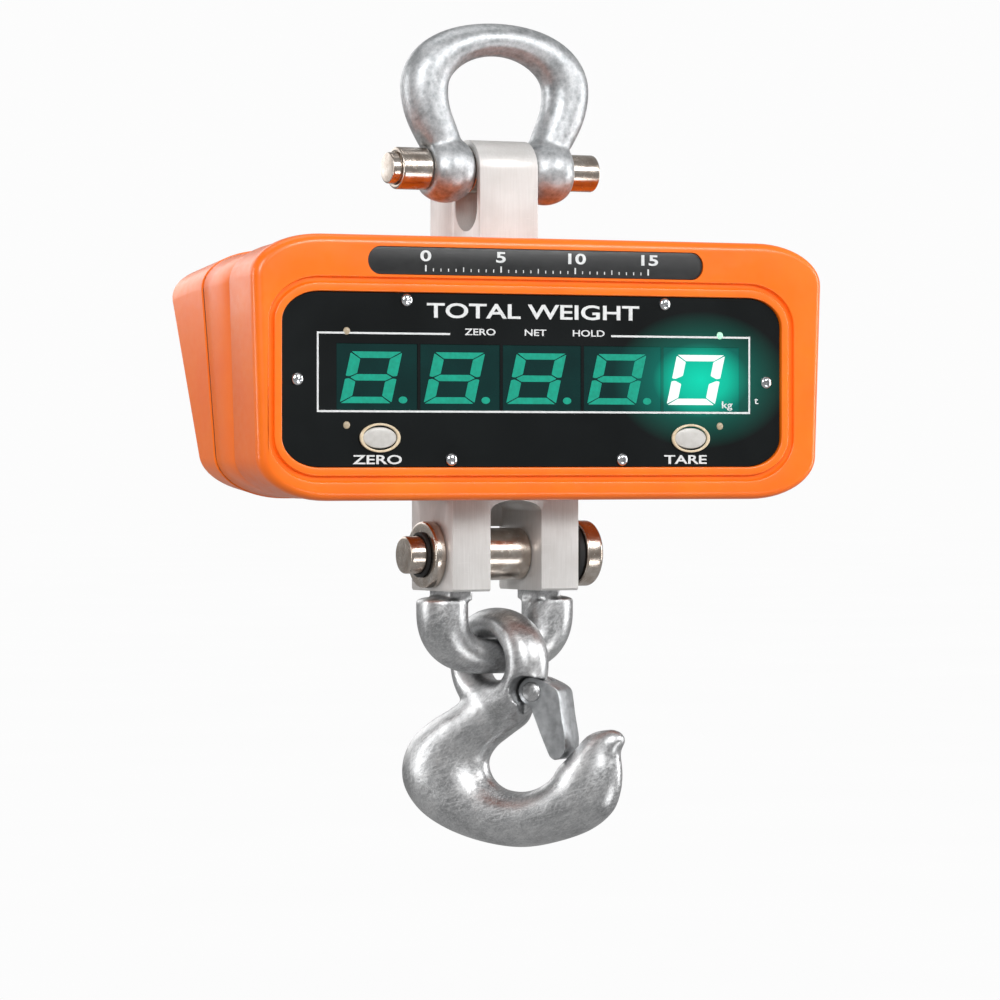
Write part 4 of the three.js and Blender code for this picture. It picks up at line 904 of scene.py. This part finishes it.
hook_turn = math.radians(-54)
hook_x, hook_drop = 2.5, 97.6
hook_place = Matrix.Translation(Vector((hook_x, 0, lower_pin_z - hook_drop)) * MM)
hook_place = hook_place @ Matrix.Rotation(hook_turn, 4, "Z")
pivot_x, pivot_z = 40.8, -25.0
past_hook = 60  # how far a cutter reaches when it passes right through

# From the neck round to the tip: a point outside, the one across from it inside, and half
# the thickness there.
hook_sections = [
    ((-36, -27), (36, -27), 16),
    ((-35, -34), (36, -37), 18.5),
    ((-46, -42.5), (30, -52.5), 20.5),
    ((-65, -53.5), (14, -64.5), 22),
    ((-84, -69.5), (-2, -76.5), 23.5),
    ((-94, -91.5), (-9.5, -88.5), 25),
    ((-92, -114.5), (-8, -99.5), 26),
    ((-75, -136.5), (-2, -108), 26),
    ((-46, -152.5), (7, -113.5), 26),
    ((-10, -162.5), (17, -115.5), 26),
    ((26, -165.5), (27, -115.5), 26),
    ((60, -159.5), (38, -113), 25),
    ((92, -148), (48, -108), 24),
    ((113, -131.5), (56, -101.5), 22.5),
    ((121, -112.5), (61, -93), 21),
    ((122.5, -94.5), (69, -85.5), 19),
    ((121, -78.5), (78, -76.5), 16),
    ((126, -67.5), (89, -64.5), 12),
    ((122, -60.5), (100, -59.5), 8),
    ((114, -57.5), (110, -58), 3),
]


def through_points(points, share):
    """A smooth curve through points; share runs from 0 to 1 along them."""
    last = len(points) - 1
    place = min(max(share, 0), 1) * last
    i = min(int(place), last - 1)
    t = place - i
    b, c = Vector(points[i]), Vector(points[i + 1])
    a = Vector(points[i - 1]) if i > 0 else 2 * b - c
    d = Vector(points[i + 2]) if i + 2 <= last else 2 * c - b
    return 0.5 * (2 * b + (c - a) * t + (2 * a - 5 * b + 4 * c - d) * t * t
                  + (3 * b - a - 3 * c + d) * t ** 3)


def hook_body():
    outer = [out for out, _, _ in hook_sections]
    inner = [into for _, into, _ in hook_sections]
    halves = [(half, 0) for _, _, half in hook_sections]
    rings = []
    steps = 110
    for i in range(steps + 1):
        share = i / steps
        out, into = through_points(outer, share), through_points(inner, share)
        centre, across = (out + into) / 2, (out - into) / 2
        half = through_points(halves, share).x
        rings.append([(centre.x + across.x * a, half * b, centre.y + across.y * a)
                      for a, b in circle(1, 1, 36)])
    return loft("hook_shape", rings)


def hook_eye():
    hole, top_bar, far_bar, latch_bar, fill, half = 22.5, 27.0, 30.0, 36.0, 7.0, 20.5
    lean = math.radians(-23)
    rings = []
    steps = 72
    for i in range(steps):
        turn = 2 * math.pi * i / steps
        side_bar = mix(far_bar, latch_bar, (1 + math.cos(turn)) / 2)
        filled = fill * max(-math.sin(turn), 0) ** 2
        thick = (mix(side_bar, top_bar, max(math.sin(turn), 0) ** 2) + filled) / 2
        radius = hole - filled + thick
        rings.append([((radius + thick * a) * math.cos(turn), half * b,
                       (radius + thick * a) * math.sin(turn)) for a, b in circle(1, 1, 28)])
    made = loft("eye_shape", rings, True)
    made.data.transform(Matrix.Rotation(lean, 4, "Z"))
    return made


latch_outline = [
    (28, -27), (29, -19), (36, -12.5), (45, -12), (60, -18), (67.5, -23), (71, -48.5),
    (74.4, -65), (74, -76.5), (70, -83), (64, -86), (59, -83), (50.5, -64.5),
    (43.5, -47), (39, -38), (32, -34.5),
]
tongue_half, latch_play, cheek = 10.4, 0.6, 4.0


def grown(points, distance):
    """The outline moved out along its corners."""
    made = []
    count = len(points)
    for i, (x, z) in enumerate(points):
        before, after = points[i - 1], points[(i + 1) % count]
        along = Vector((after[0] - before[0], after[1] - before[1])).normalized()
        made.append((x - along.y * distance, z + along.x * distance))
    return made


def latch_hole():
    return cylinder_y("bore", -past_hook, past_hook, latch_bore, pivot_x, pivot_z)


def hook():
    tongue = cylinder_y("tongue", -12, 12, 13, pivot_x, pivot_z)
    made = merged("hook_body", [hook_body(), hook_eye(), tongue])
    forge(made, 1.7, 7)
    pivot = Matrix.Translation(Vector((pivot_x, 0, pivot_z)) * MM)
    play, steps, step_angle = 1.6, 5, 7
    for y0, y1 in ((tongue_half, past_hook), (-past_hook, -tongue_half)):
        for step in range(steps):
            room = slab_y("room", grown(latch_outline, play), y0, y1)
            turn = Matrix.Rotation(math.radians(step_angle * step), 4, "Y")
            room.data.transform(pivot @ turn @ pivot.inverted())
            cut(made, room)
    forge(made, 1.5, 4)
    cut(made, latch_hole())
    made.data.transform(hook_place)
    finish_piece(made, "forged", "hook", "hook", angle=50)


def latch():
    inside = tongue_half + latch_play
    outside = inside + cheek
    made = slab_y("latch_body", rounded(latch_outline, 6, 5), -outside, outside)
    back_wall, knuckle, open_past, open_below = 3.6, 15, 13, 10
    hollow = [(x - back_wall, z) for x, z in latch_outline]
    cut(made, slab_y("slit", hollow, -inside, inside))
    cut(made, cylinder_y("round", -inside, inside, knuckle, pivot_x, pivot_z))
    cut(made, block("top", 0, pivot_x + open_past, -inside, inside, pivot_z - open_below, 0))
    cut(made, latch_hole())
    soften(made, 1.1, 40, 3)
    made.data.transform(hook_place)
    finish_piece(made, "zinc", "latch", "latch")

    rivet_out = outside + 0.3
    rise, head, shank = 3.4, 9, 5
    dome = [(rivet_out + rise * cos, head * sin) for cos, sin in quarter(8)]
    profile = dome + [(rivet_out, shank), (-rivet_out, shank)]
    profile += [(-y, radius) for y, radius in reversed(dome)]
    pin = turned_y("latch_rivet", profile, pivot_x, pivot_z)
    pin.data.transform(hook_place)
    finish_piece(pin, "forged", "hook", "latch_pin")


# ---- Housing -----------------------------------------------------------------------------

case_low, case_high = span("front_case")
panel_low, panel_high = span("display_panel")
width_top, taper, housing_shift = 576.0, 16.0, 9.0
corner_across, corner_up = 68, 38
housing_low, housing_high = case_low.z, case_high.z
housing_height = housing_high - housing_low
front_y = case_low.y
channel_y = front_y + 57
seam_top, seam_bottom = 60, 36
channel_depth = 15
flange_depth, flange_step, wall = 13, 1.6, 3.6
top_slope = 0.085
back_top_y = 128.0
back_bottom_y = 50.0
back_tilt = math.atan2(back_top_y - back_bottom_y, housing_height)
door_low, door_high = span("battery_cover")
boss_front = channel_y + 3


def top_fall(y):
    """How far the housing's top has come down at a depth."""
    return top_slope * max(y - front_y - flange_depth, 0)


def corner_arcs(x0, x1, z0, z1, radius_x, radius_z, facets=14):
    """The points of a rounded rectangle as pairs, always in the same order."""
    made = []
    for x, z, start in (
        (x1 - radius_x, z0 + radius_z, -90), (x1 - radius_x, z1 - radius_z, 0),
        (x0 + radius_x, z1 - radius_z, 90), (x0 + radius_x, z0 + radius_z, 180),
    ):
        made += arc(x, z, radius_x, start, start + 90, facets, radius_z / radius_x)
    return made


def housing_ring(y_top, y_bottom, inset, sink=None):
    """The housing's outline at one depth; sink flattens its top that far down."""
    half = width_top / 2 - inset
    top = housing_high - top_fall(y_top) - inset
    ring = []
    for x, z in corner_arcs(-half, half, housing_low + inset, top,
                            max(corner_across - inset, 2), max(corner_up - inset, 2)):
        share = (z - housing_low) / housing_height
        across = x * (1 - taper / width_top * (1 - share))
        if sink is not None:
            z = min(z, housing_high - sink)
        ring.append((across + housing_shift, mix(y_bottom, y_top, share), z))
    return ring


def level(y, inset, sink=None):
    return housing_ring(y, y, inset, sink)


def seam(offset, inset, sink=None):
    return housing_ring(channel_y + seam_top + offset, channel_y + seam_bottom + offset, inset, sink)


def back(offset, inset):
    return housing_ring(back_top_y + offset, back_bottom_y + offset, inset)


def rectangle_ring(y, *sizes):
    """A rounded rectangle; with 14 facets its points are in step with housing_ring's."""
    return [(x, y, z) for x, z in corner_arcs(*sizes)]


def panel_ring(y, grow):
    return rectangle_ring(y, panel_low.x - grow, panel_high.x + grow, panel_low.z - grow,
                          panel_high.z + grow, 36 + grow, 26 + grow)


def load_cell_room():
    cell_low, cell_high = span("load_cell")
    lug = span("suspension_bracket")[1]
    play, lug_front = 1.6, -28.6
    above = block("room", -lug.x - play, lug.x + play, lug_front, lug.y + play,
                  housing_high - channel_depth - 2 * wall, housing_high + 50)
    below = block("room", cell_low.x - play, cell_high.x + play, cell_low.y - play,
                  cell_high.y + play, housing_low - 60, housing_low + 60)
    return above, below


def front_case():
    # From the seam forward over the channel, the flange and the front edge.
    rings = [
        seam(-0.9, flange_step + 1.2, channel_depth),
        seam(-1.9, flange_step + 0.6, channel_depth),
        level(channel_y + 1.4, flange_step + 2.0, channel_depth),
        level(channel_y + 0.6, flange_step + 2.2, channel_depth),
        level(channel_y, flange_step + 2.6, channel_depth - 1),
        level(channel_y, flange_step + 1.4),
        level(channel_y - 0.5, flange_step + 0.4),
        level(channel_y - 1.4, flange_step),
        level(front_y + flange_depth + 2.4, flange_step),
        level(front_y + flange_depth + flange_step, flange_step - 0.2),
        level(front_y + flange_depth, 0.3),
        level(front_y + flange_depth - 1, 0),
    ]
    edge = 8
    rings += [level(front_y + edge * (1 - sin), edge * (1 - cos)) for cos, sin in quarter(10)]
    # Across the front: the groove round the panel, then the panel's seat.
    lip_radius, play, foot = 1.3, 0.4, 0.8
    outer, inner, floor_y = 13.0, 8.0, front_y + 3.5
    lip = [(front_y + lip_radius * (1 - cos), lip_radius * (1 - sin)) for cos, sin in quarter(4)]
    rings += [panel_ring(y, outer + grow) for y, grow in lip]
    rings += [panel_ring(floor_y - foot, outer), panel_ring(floor_y, outer - foot),
              panel_ring(floor_y, inner + foot), panel_ring(floor_y - foot, inner)]
    rings += [panel_ring(y, inner - grow) for y, grow in reversed(lip)]
    rings += [panel_ring(y, play + grow) for y, grow in lip]
    ledge_y, inside_y = panel_high.y + 0.3, front_y + 10
    window = (panel_low.x + 20, panel_high.x - 20, panel_low.z + 12, panel_high.z - 16, 12, 12)
    rings += [panel_ring(ledge_y, play), rectangle_ring(ledge_y, *window),
              rectangle_ring(inside_y, *window)]
    # Back along the inside of the wall.
    inset, sink = flange_step + wall, channel_depth + wall
    rings += [level(inside_y, inset), level(channel_y - wall, inset),
              level(channel_y - wall, inset, sink), seam(-0.9, inset, sink)]
    case = loft("case_front", rings, True)

    plate_low, plate_high = span("capacity_plate")
    cut(case, pill("plate_seat", plate_low, plate_high, play, front_y - 5, plate_high.y + 0.3))

    socket = middle("charge_socket")
    radius, corner, bore, bore_floor = 16, 1.2, 8.7, 5
    boss_back = boss_front + 28
    arm_half, arm_x = 12.8, socket.x - 18
    boss = turned_y("boss", [
        (boss_front, 0), (boss_front, radius - corner), (boss_front + corner, radius),
        (boss_back - corner, radius), (boss_back, radius - corner), (boss_back, 0),
    ], socket.x, socket.z, 48)
    join(case, block("arm", arm_x, socket.x, boss_front, boss_back,
                     socket.z - arm_half, socket.z + arm_half), boss)
    cut(case, cylinder_y("bore", boss_front - 1, boss_back - bore_floor, bore, socket.x, socket.z))
    cut(case, *load_cell_room())
    finish_piece(case, "orange", HEAD, "front_case", angle=40)


def pill(name, low, high, grow, y0, y1):
    """A bar with round ends in X and Z."""
    radius = (high.z - low.z) / 2 + grow
    z = (high.z + low.z) / 2
    outline = arc(high.x + grow - radius, z, radius, -90, 90, 28)
    outline += arc(low.x - grow + radius, z, radius, 90, 270, 28)
    return slab_y(name, outline, y0, y1)


def on_back(obj, x=0.0, z=0.0):
    """Moves a piece made round the origin onto the leaning back face."""
    place = Matrix.Translation(Vector((0, (back_top_y + back_bottom_y) / 2,
                                       (housing_high + housing_low) / 2)) * MM)
    lean = Matrix.Rotation(-back_tilt, 4, "X")
    obj.data.transform(place @ lean @ Matrix.Translation(Vector((x, 0, z)) * MM))
    return obj


def on_back_place(node):
    """A node's place along the leaning back face."""
    centre = middle(node)
    rise = centre.z - (housing_high + housing_low) / 2
    return centre.x, rise / math.cos(back_tilt)


def door_loft(name, *steps):
    """The battery door's outline at several depths, each grown by so much."""
    half, corner = 53, 9
    return loft(name, [
        rectangle_ring(y, door_low.x - grow, door_high.x + grow, -half - grow, half + grow,
                       corner, corner, 8)
        for y, grow in steps
    ])


def rear_cover():
    rear_inset = flange_step + 5
    inner = flange_step + wall
    round_depth, round_inset = 9, 13
    rings = [back(-6, rear_inset + wall), seam(0.9, inner, channel_depth + wall),
             seam(0.9, flange_step + 1.0), seam(1.9, flange_step)]
    rings += [back(-round_depth * (1 - sin), rear_inset - 1 + round_inset * (1 - cos))
              for cos, sin in quarter(9)]
    cover = loft("case_rear", rings)
    cut(cover, on_back(door_loft("seat", (-3.1, 0.3), (5, 0.3))))
    cut(cover, on_back(door_loft("way", (-20, -16), (5, -16))))
    sink_depth, sink_radius = 3.4, 5.8
    for i in range(4):
        x, z = on_back_place(f"cover_screw_{i + 1}")
        cut(cover, on_back(cylinder_y("sink", -sink_depth, 5, sink_radius, 0, 0), x, z))
    cut(cover, *load_cell_room())
    finish_piece(cover, "orange", HEAD, "rear_cover", angle=40)

    door = door_loft("battery_door", (-2.8, 0), (-0.8, 0), (0, -0.9))
    ribs, pitch, rib_half, rib_length, rib_depth = 7, 9, 2.2, 30, 1.4
    for i in range(ribs):
        x = mix(door_low.x, door_high.x, 0.5) + (i - 3) * pitch
        size = (x - rib_half, x + rib_half, -rib_length, rib_length, 2, 2, 5)
        cut(door, loft("rib", [rectangle_ring(-rib_depth, *size), rectangle_ring(2, *size)]))
    finish_piece(on_back(door), "orange", HEAD, "battery_cover", angle=40)


# ---- Screws ------------------------------------------------------------------------------


def domed_screw(name, radius, rise, seat_y, tail_y, shank=2.6):
    """A pan-head cross-slot screw on an axis along Y; its head looks to -Y."""
    dome = [(seat_y - rise * cos ** 0.8, radius * sin) for cos, sin in quarter(9)]
    dome.append((seat_y, radius))
    screw = turned_y(name, dome + [(seat_y, shank), (tail_y, shank), (tail_y, 0)], 0, 0)
    long_half, short_half = radius * 0.5, radius * 0.12
    top = seat_y - rise
    for x, z in ((long_half, short_half), (short_half, long_half)):
        cut(screw, block("slot", -x, x, top - 2, top + rise * 0.55, -z, z))
    return screw


def screws():
    rise, first_turn, next_turn = 3.2, 25, 47
    for i in range(6):
        node = f"panel_screw_{i + 1}"
        low, high = span(node)
        screw = domed_screw(f"panel_bolt_{i + 1}", half_width(node), rise, low.y + rise, high.y)
        centre = middle(node)
        tilt = Matrix.Rotation(math.radians(first_turn + next_turn * i), 4, "Y")
        screw.data.transform(Matrix.Translation(Vector((centre.x, 0, centre.z)) * MM) @ tilt)
        finish_piece(screw, "chrome", HEAD, node, angle=40)
    for node_name, name, count, sizes in (
        ("cover_screw", "cover_bolt", 4, (5.5, 2.6, 3.0, 15)),
        ("battery_cover_screw", "door_bolt", 2, (4.6, 2.5, -0.3, 7, 2.0)),
    ):
        for i in range(count):
            node = f"{node_name}_{i + 1}"
            screw = domed_screw(f"{name}_{i + 1}", *sizes)
            screw.data.transform(Matrix.Rotation(math.pi, 4, "Z"))
            finish_piece(on_back(screw, *on_back_place(node)), "chrome", HEAD, node, angle=40)


# ---- Front panel, display and buttons ----------------------------------------------------

lamps = {
    "led_top_left": "led_cream", "led_top_right": "led_green",
    "led_bottom_left": "led_cream", "led_bottom_right": "led_cream",
}


def panel_hole(node, radius, sides, oval=1.0):
    centre = middle(node)
    return cylinder_y("hole", panel_low.y - 10, panel_high.y + 10, radius, centre.x, centre.z,
                      sides, oval)


def front_panel():
    edge, play, cap_play, lamp_hole = 0.5, 0.3, 0.4, 3.5
    panel = loft("panel_body", [panel_ring(panel_high.y, 0), panel_ring(panel_low.y + edge, 0),
                                panel_ring(panel_low.y, -edge)])
    for i in range(5):
        low, high = span(f"digit_module_{i + 1}")
        cut(panel, block("window", low.x - play, high.x + play, panel_low.y - 5, panel_high.y + 5,
                         low.z - play, high.z + play))
    for node in ("button_cap_left", "button_cap_right"):
        radius = half_width(node) + cap_play
        cut(panel, panel_hole(node, radius, 48, (half_height(node) + cap_play) / radius))
    for node in lamps:
        cut(panel, panel_hole(node, lamp_hole, 28))
    finish_piece(panel, "panel", HEAD, "display_panel", angle=40)

    low, high = span("capacity_plate")
    plate = soften(pill("plate_body", low, high, 0, low.y, high.y), 0.5, 40)
    finish_piece(plate, "plate", HEAD, "capacity_plate", angle=40)


def segment_outlines(width, height, upright, level_bar, gap):
    """The seven bars of a display character as outlines, by their usual letters."""
    half = height / 2
    inner = width - upright
    top = [(gap, height), (width - gap, height), (inner, height - level_bar),
           (upright, height - level_bar)]
    right = [(width, height - gap), (width, half + gap * 1.5), (width - upright * 0.35, half + gap),
             (inner, half + level_bar / 2 + gap), (inner, height - level_bar - gap)]
    across = [(upright * 0.45, half), (upright, half + level_bar / 2), (inner, half + level_bar / 2),
              (width - upright * 0.45, half), (inner, half - level_bar / 2),
              (upright, half - level_bar / 2)]

    def left(outline):
        return [(width - x, z) for x, z in reversed(outline)]

    def under(outline):
        return [(x, height - z) for x, z in reversed(outline)]

    return {"a": top, "b": right, "c": under(right), "d": under(top),
            "e": under(left(right)), "f": left(right), "g": across}


def digits():
    """Five characters: four unlit with every bar and a dot, and one lit that shows a nought."""
    bars = segment_outlines(width=50, height=45, upright=10.5, level_bar=5.6, gap=0.9)
    slant, margin_x, margin_z = 0.24, 3.0, 6.6
    dot_x, dot_z, dot_across, dot_up = 61.5, 3, 4.2, 3.0
    for i in range(5):
        low = span(f"digit_module_{i + 1}")[0]
        lit = i == 4
        left_x, base_z = low.x + margin_x, low.z + margin_z
        y0, y1 = low.y - 0.25, low.y + 0.05
        parts = []
        for letter, outline in bars.items():
            if lit and letter == "g":
                continue
            placed = [(left_x + x + z * slant, base_z + z) for x, z in outline]
            parts.append(slab_y("bar", rounded(placed, 0.9, 3), y0, y1))
        if not lit:
            dot = [(left_x + dot_x + x, base_z + dot_z + z)
                   for x, z in circle(dot_across, dot_up, 28)]
            parts.append(slab_y("dot", dot, y0, y1))
        character = merged(f"character_{i + 1}", parts)
        # The unlit characters get painted light, a dim teal emission. The lit one gets the display's
        # own light.
        finish_piece(character, "segments", HEAD, skin="segment_lit" if lit else "segment_dim_painted_glow")


def words(name, text, size, x, z, y, wide=1.0, weight=0.0):
    """Raised lettering on the front; x and z are its middle."""
    curve = bpy.data.curves.new(name, "FONT")
    curve.body = text
    curve.size = size * MM
    curve.align_x = "CENTER"
    curve.align_y = "CENTER"
    curve.extrude = 0.15 * MM
    curve.offset = weight * MM
    curve.resolution_u = 6
    typed = add_object(name, curve)
    bpy.context.view_layer.update()
    graph = bpy.context.evaluated_depsgraph_get()
    mesh = bpy.data.meshes.new_from_object(typed.evaluated_get(graph))
    bpy.data.objects.remove(typed)
    upright = Matrix.Rotation(math.pi / 2, 4, "X")
    stretch = Matrix.Diagonal((wide, 1, 1, 1))
    mesh.transform(Matrix.Translation(Vector((x, y, z)) * MM) @ upright @ stretch)
    return add_object(name, mesh)


def strip(x0, x1, z0, z1, y):
    return block("strip", x0, x1, y - 0.12, y + 0.06, z0, z1)


def markings():
    y = panel_low.y
    left, right, low, high, line = -217, 219.5, -321.3, -251.5, 1.7
    words_from, words_to = -87, 75
    frame_line = merged("display_frame", [
        strip(left, left + line, low, high, y),
        strip(right - line, right, low, high, y),
        strip(left + line, right - line, low, low + line, y),
        strip(left + line, words_from, high - line, high, y),
        strip(words_to, right - line, high - line, high, y),
    ])
    finish_piece(frame_line, "panel", HEAD, skin="print")
    small_z, button_z = -250.5, -363
    for name, text, size, x, z, wide, weight in (
        ("heading", "TOTAL WEIGHT", 18, -3, -232.5, 1.62, 0.3),
        ("small_label_1", "ZERO", 8, -57, small_z, 1.5, 0.1),
        ("small_label_2", "NET", 8, -2, small_z, 1.5, 0.1),
        ("small_label_3", "HOLD", 8, 52, small_z, 1.5, 0.1),
        ("unit_1", "kg", 9, 195, -313.5, 1.4, 0.1),
        ("unit_2", "t", 9, 226, -309.5, 1.4, 0.1),
        ("button_word_left", "ZERO", 11, -158, button_z, 1.7, 0.2),
        ("button_word_right", "TARE", 11, 152, button_z, 1.7, 0.2),
    ):
        made = words(name, text, size, x, z, y, wide, weight)
        finish_piece(made, "panel", HEAD, skin="print")
    scale_marks()


def scale_marks():
    """A plain graduated scale on the plate above the display."""
    low, high = span("capacity_plate")
    y = low.y
    centre = (low + high) / 2
    reach, count, foot = 112, 30, low.z + 3
    parts = []
    for i in range(count + 1):
        x = centre.x + mix(-reach, reach, i / count)
        long_mark = i % 10 == 0
        tall = 5.5 if long_mark else (4.0 if i % 5 == 0 else 2.6)
        half = 0.75 if long_mark else 0.45
        parts.append(block("mark", x - half, x + half, y - 0.2, y + 0.05, foot, foot + tall))
    finish_piece(merged("scale_ticks", parts), "plate", HEAD, skin="print")
    for i, number in enumerate(("0", "5", "10", "15")):
        x = centre.x + mix(-reach, reach, i / 3)
        made = words(f"scale_number_{i + 1}", number, 13, x, centre.z + 4.0, y, 1.7, 0.3)
        finish_piece(made, "plate", HEAD, skin="print")


def domed_cap(name, node, rise, steps, sides, squash=1.0):
    """A cap with a slightly domed front, as wide and as deep as its node."""
    low, high = span(node)
    centre, radius = (low + high) / 2, half_width(node)
    dome = [(low.y + rise * (1 - cos), radius * sin) for cos, sin in quarter(steps)]
    return turned_y(name, dome + [(high.y, radius), (high.y, 0)], centre.x, centre.z, sides, squash)


def lamps_and_buttons():
    for node, skin in lamps.items():
        lamp = domed_cap(f"lamp_{node[4:]}", node, 1.4, 7, 32)
        finish_piece(lamp, skin, HEAD, node)
    for side in ("left", "right"):
        rim, cap = f"button_ring_{side}", f"button_cap_{side}"
        low, high = span(rim)
        centre = (low + high) / 2
        outer, hole = half_width(rim), half_width(cap) + 0.4
        soft = rounded([(high.y, hole), (high.y, outer), (low.y, outer), (low.y, hole)], 1.3)
        ring = turned_y(f"button_rim_{side}", soft + soft[:1], centre.x, centre.z, 64,
                        half_height(rim) / outer)
        finish_piece(ring, "rim", HEAD, rim)
        oval = half_height(cap) / half_width(cap)
        face = domed_cap(f"button_face_{side}", cap, 1.5, 8, 64, oval)
        finish_piece(face, "cap", f"button_{side}", cap)


def charge_socket():
    low, high = span("charge_socket")
    centre, radius = (low + high) / 2, half_width("charge_socket")
    flange = boss_front - 0.3
    well, bore, contact = flange + 4.3, 8.4, 1.6
    shell = [(low.y + 1, 5), (low.y, 6.5), (low.y + 0.6, radius - 3), (flange - 3.5, radius - 0.8),
             (flange, radius), (flange, bore), (high.y, bore)]
    soft = rounded(shell, 0.8, 3, closed=False) + [(high.y, 0), (well, 0), (well, 5)]
    socket = turned_y("round_socket", soft + soft[:1], centre.x, centre.z, 48)
    pin = turned_y("socket_contact", [
        (flange - 2, 0), (flange - 1.4, 1.3), (flange - 1, contact), (well - 0.1, contact),
        (well - 0.1, 0),
    ], centre.x, centre.z, 24)
    finish_piece(socket, "chrome", HEAD, "charge_socket")
    finish_piece(pin, "turned", HEAD)


# ---- All of it ---------------------------------------------------------------------------

bow_shackle()
load_cell()
bracket()
lower_pin()
link()
hook()
latch()
front_case()
rear_cover()
screws()
front_panel()
digits()
markings()
lamps_and_buttons()
charge_socket()

# The nodes that stay get the finish of their own slot.
slot_of = {part["node"]: part["material_slot"] for part in frame["record"]["subparts"]}
for node, obj in frame["nodes"].items():
    if obj.hide_render:
        continue
    obj.data.materials.clear()
    obj.data.materials.append(finishes[slot_of[node]])

sizes = {"cad": cad_bounds, "visual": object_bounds()}
{key: [list(corner) for corner in value] for key, value in sizes.items()}
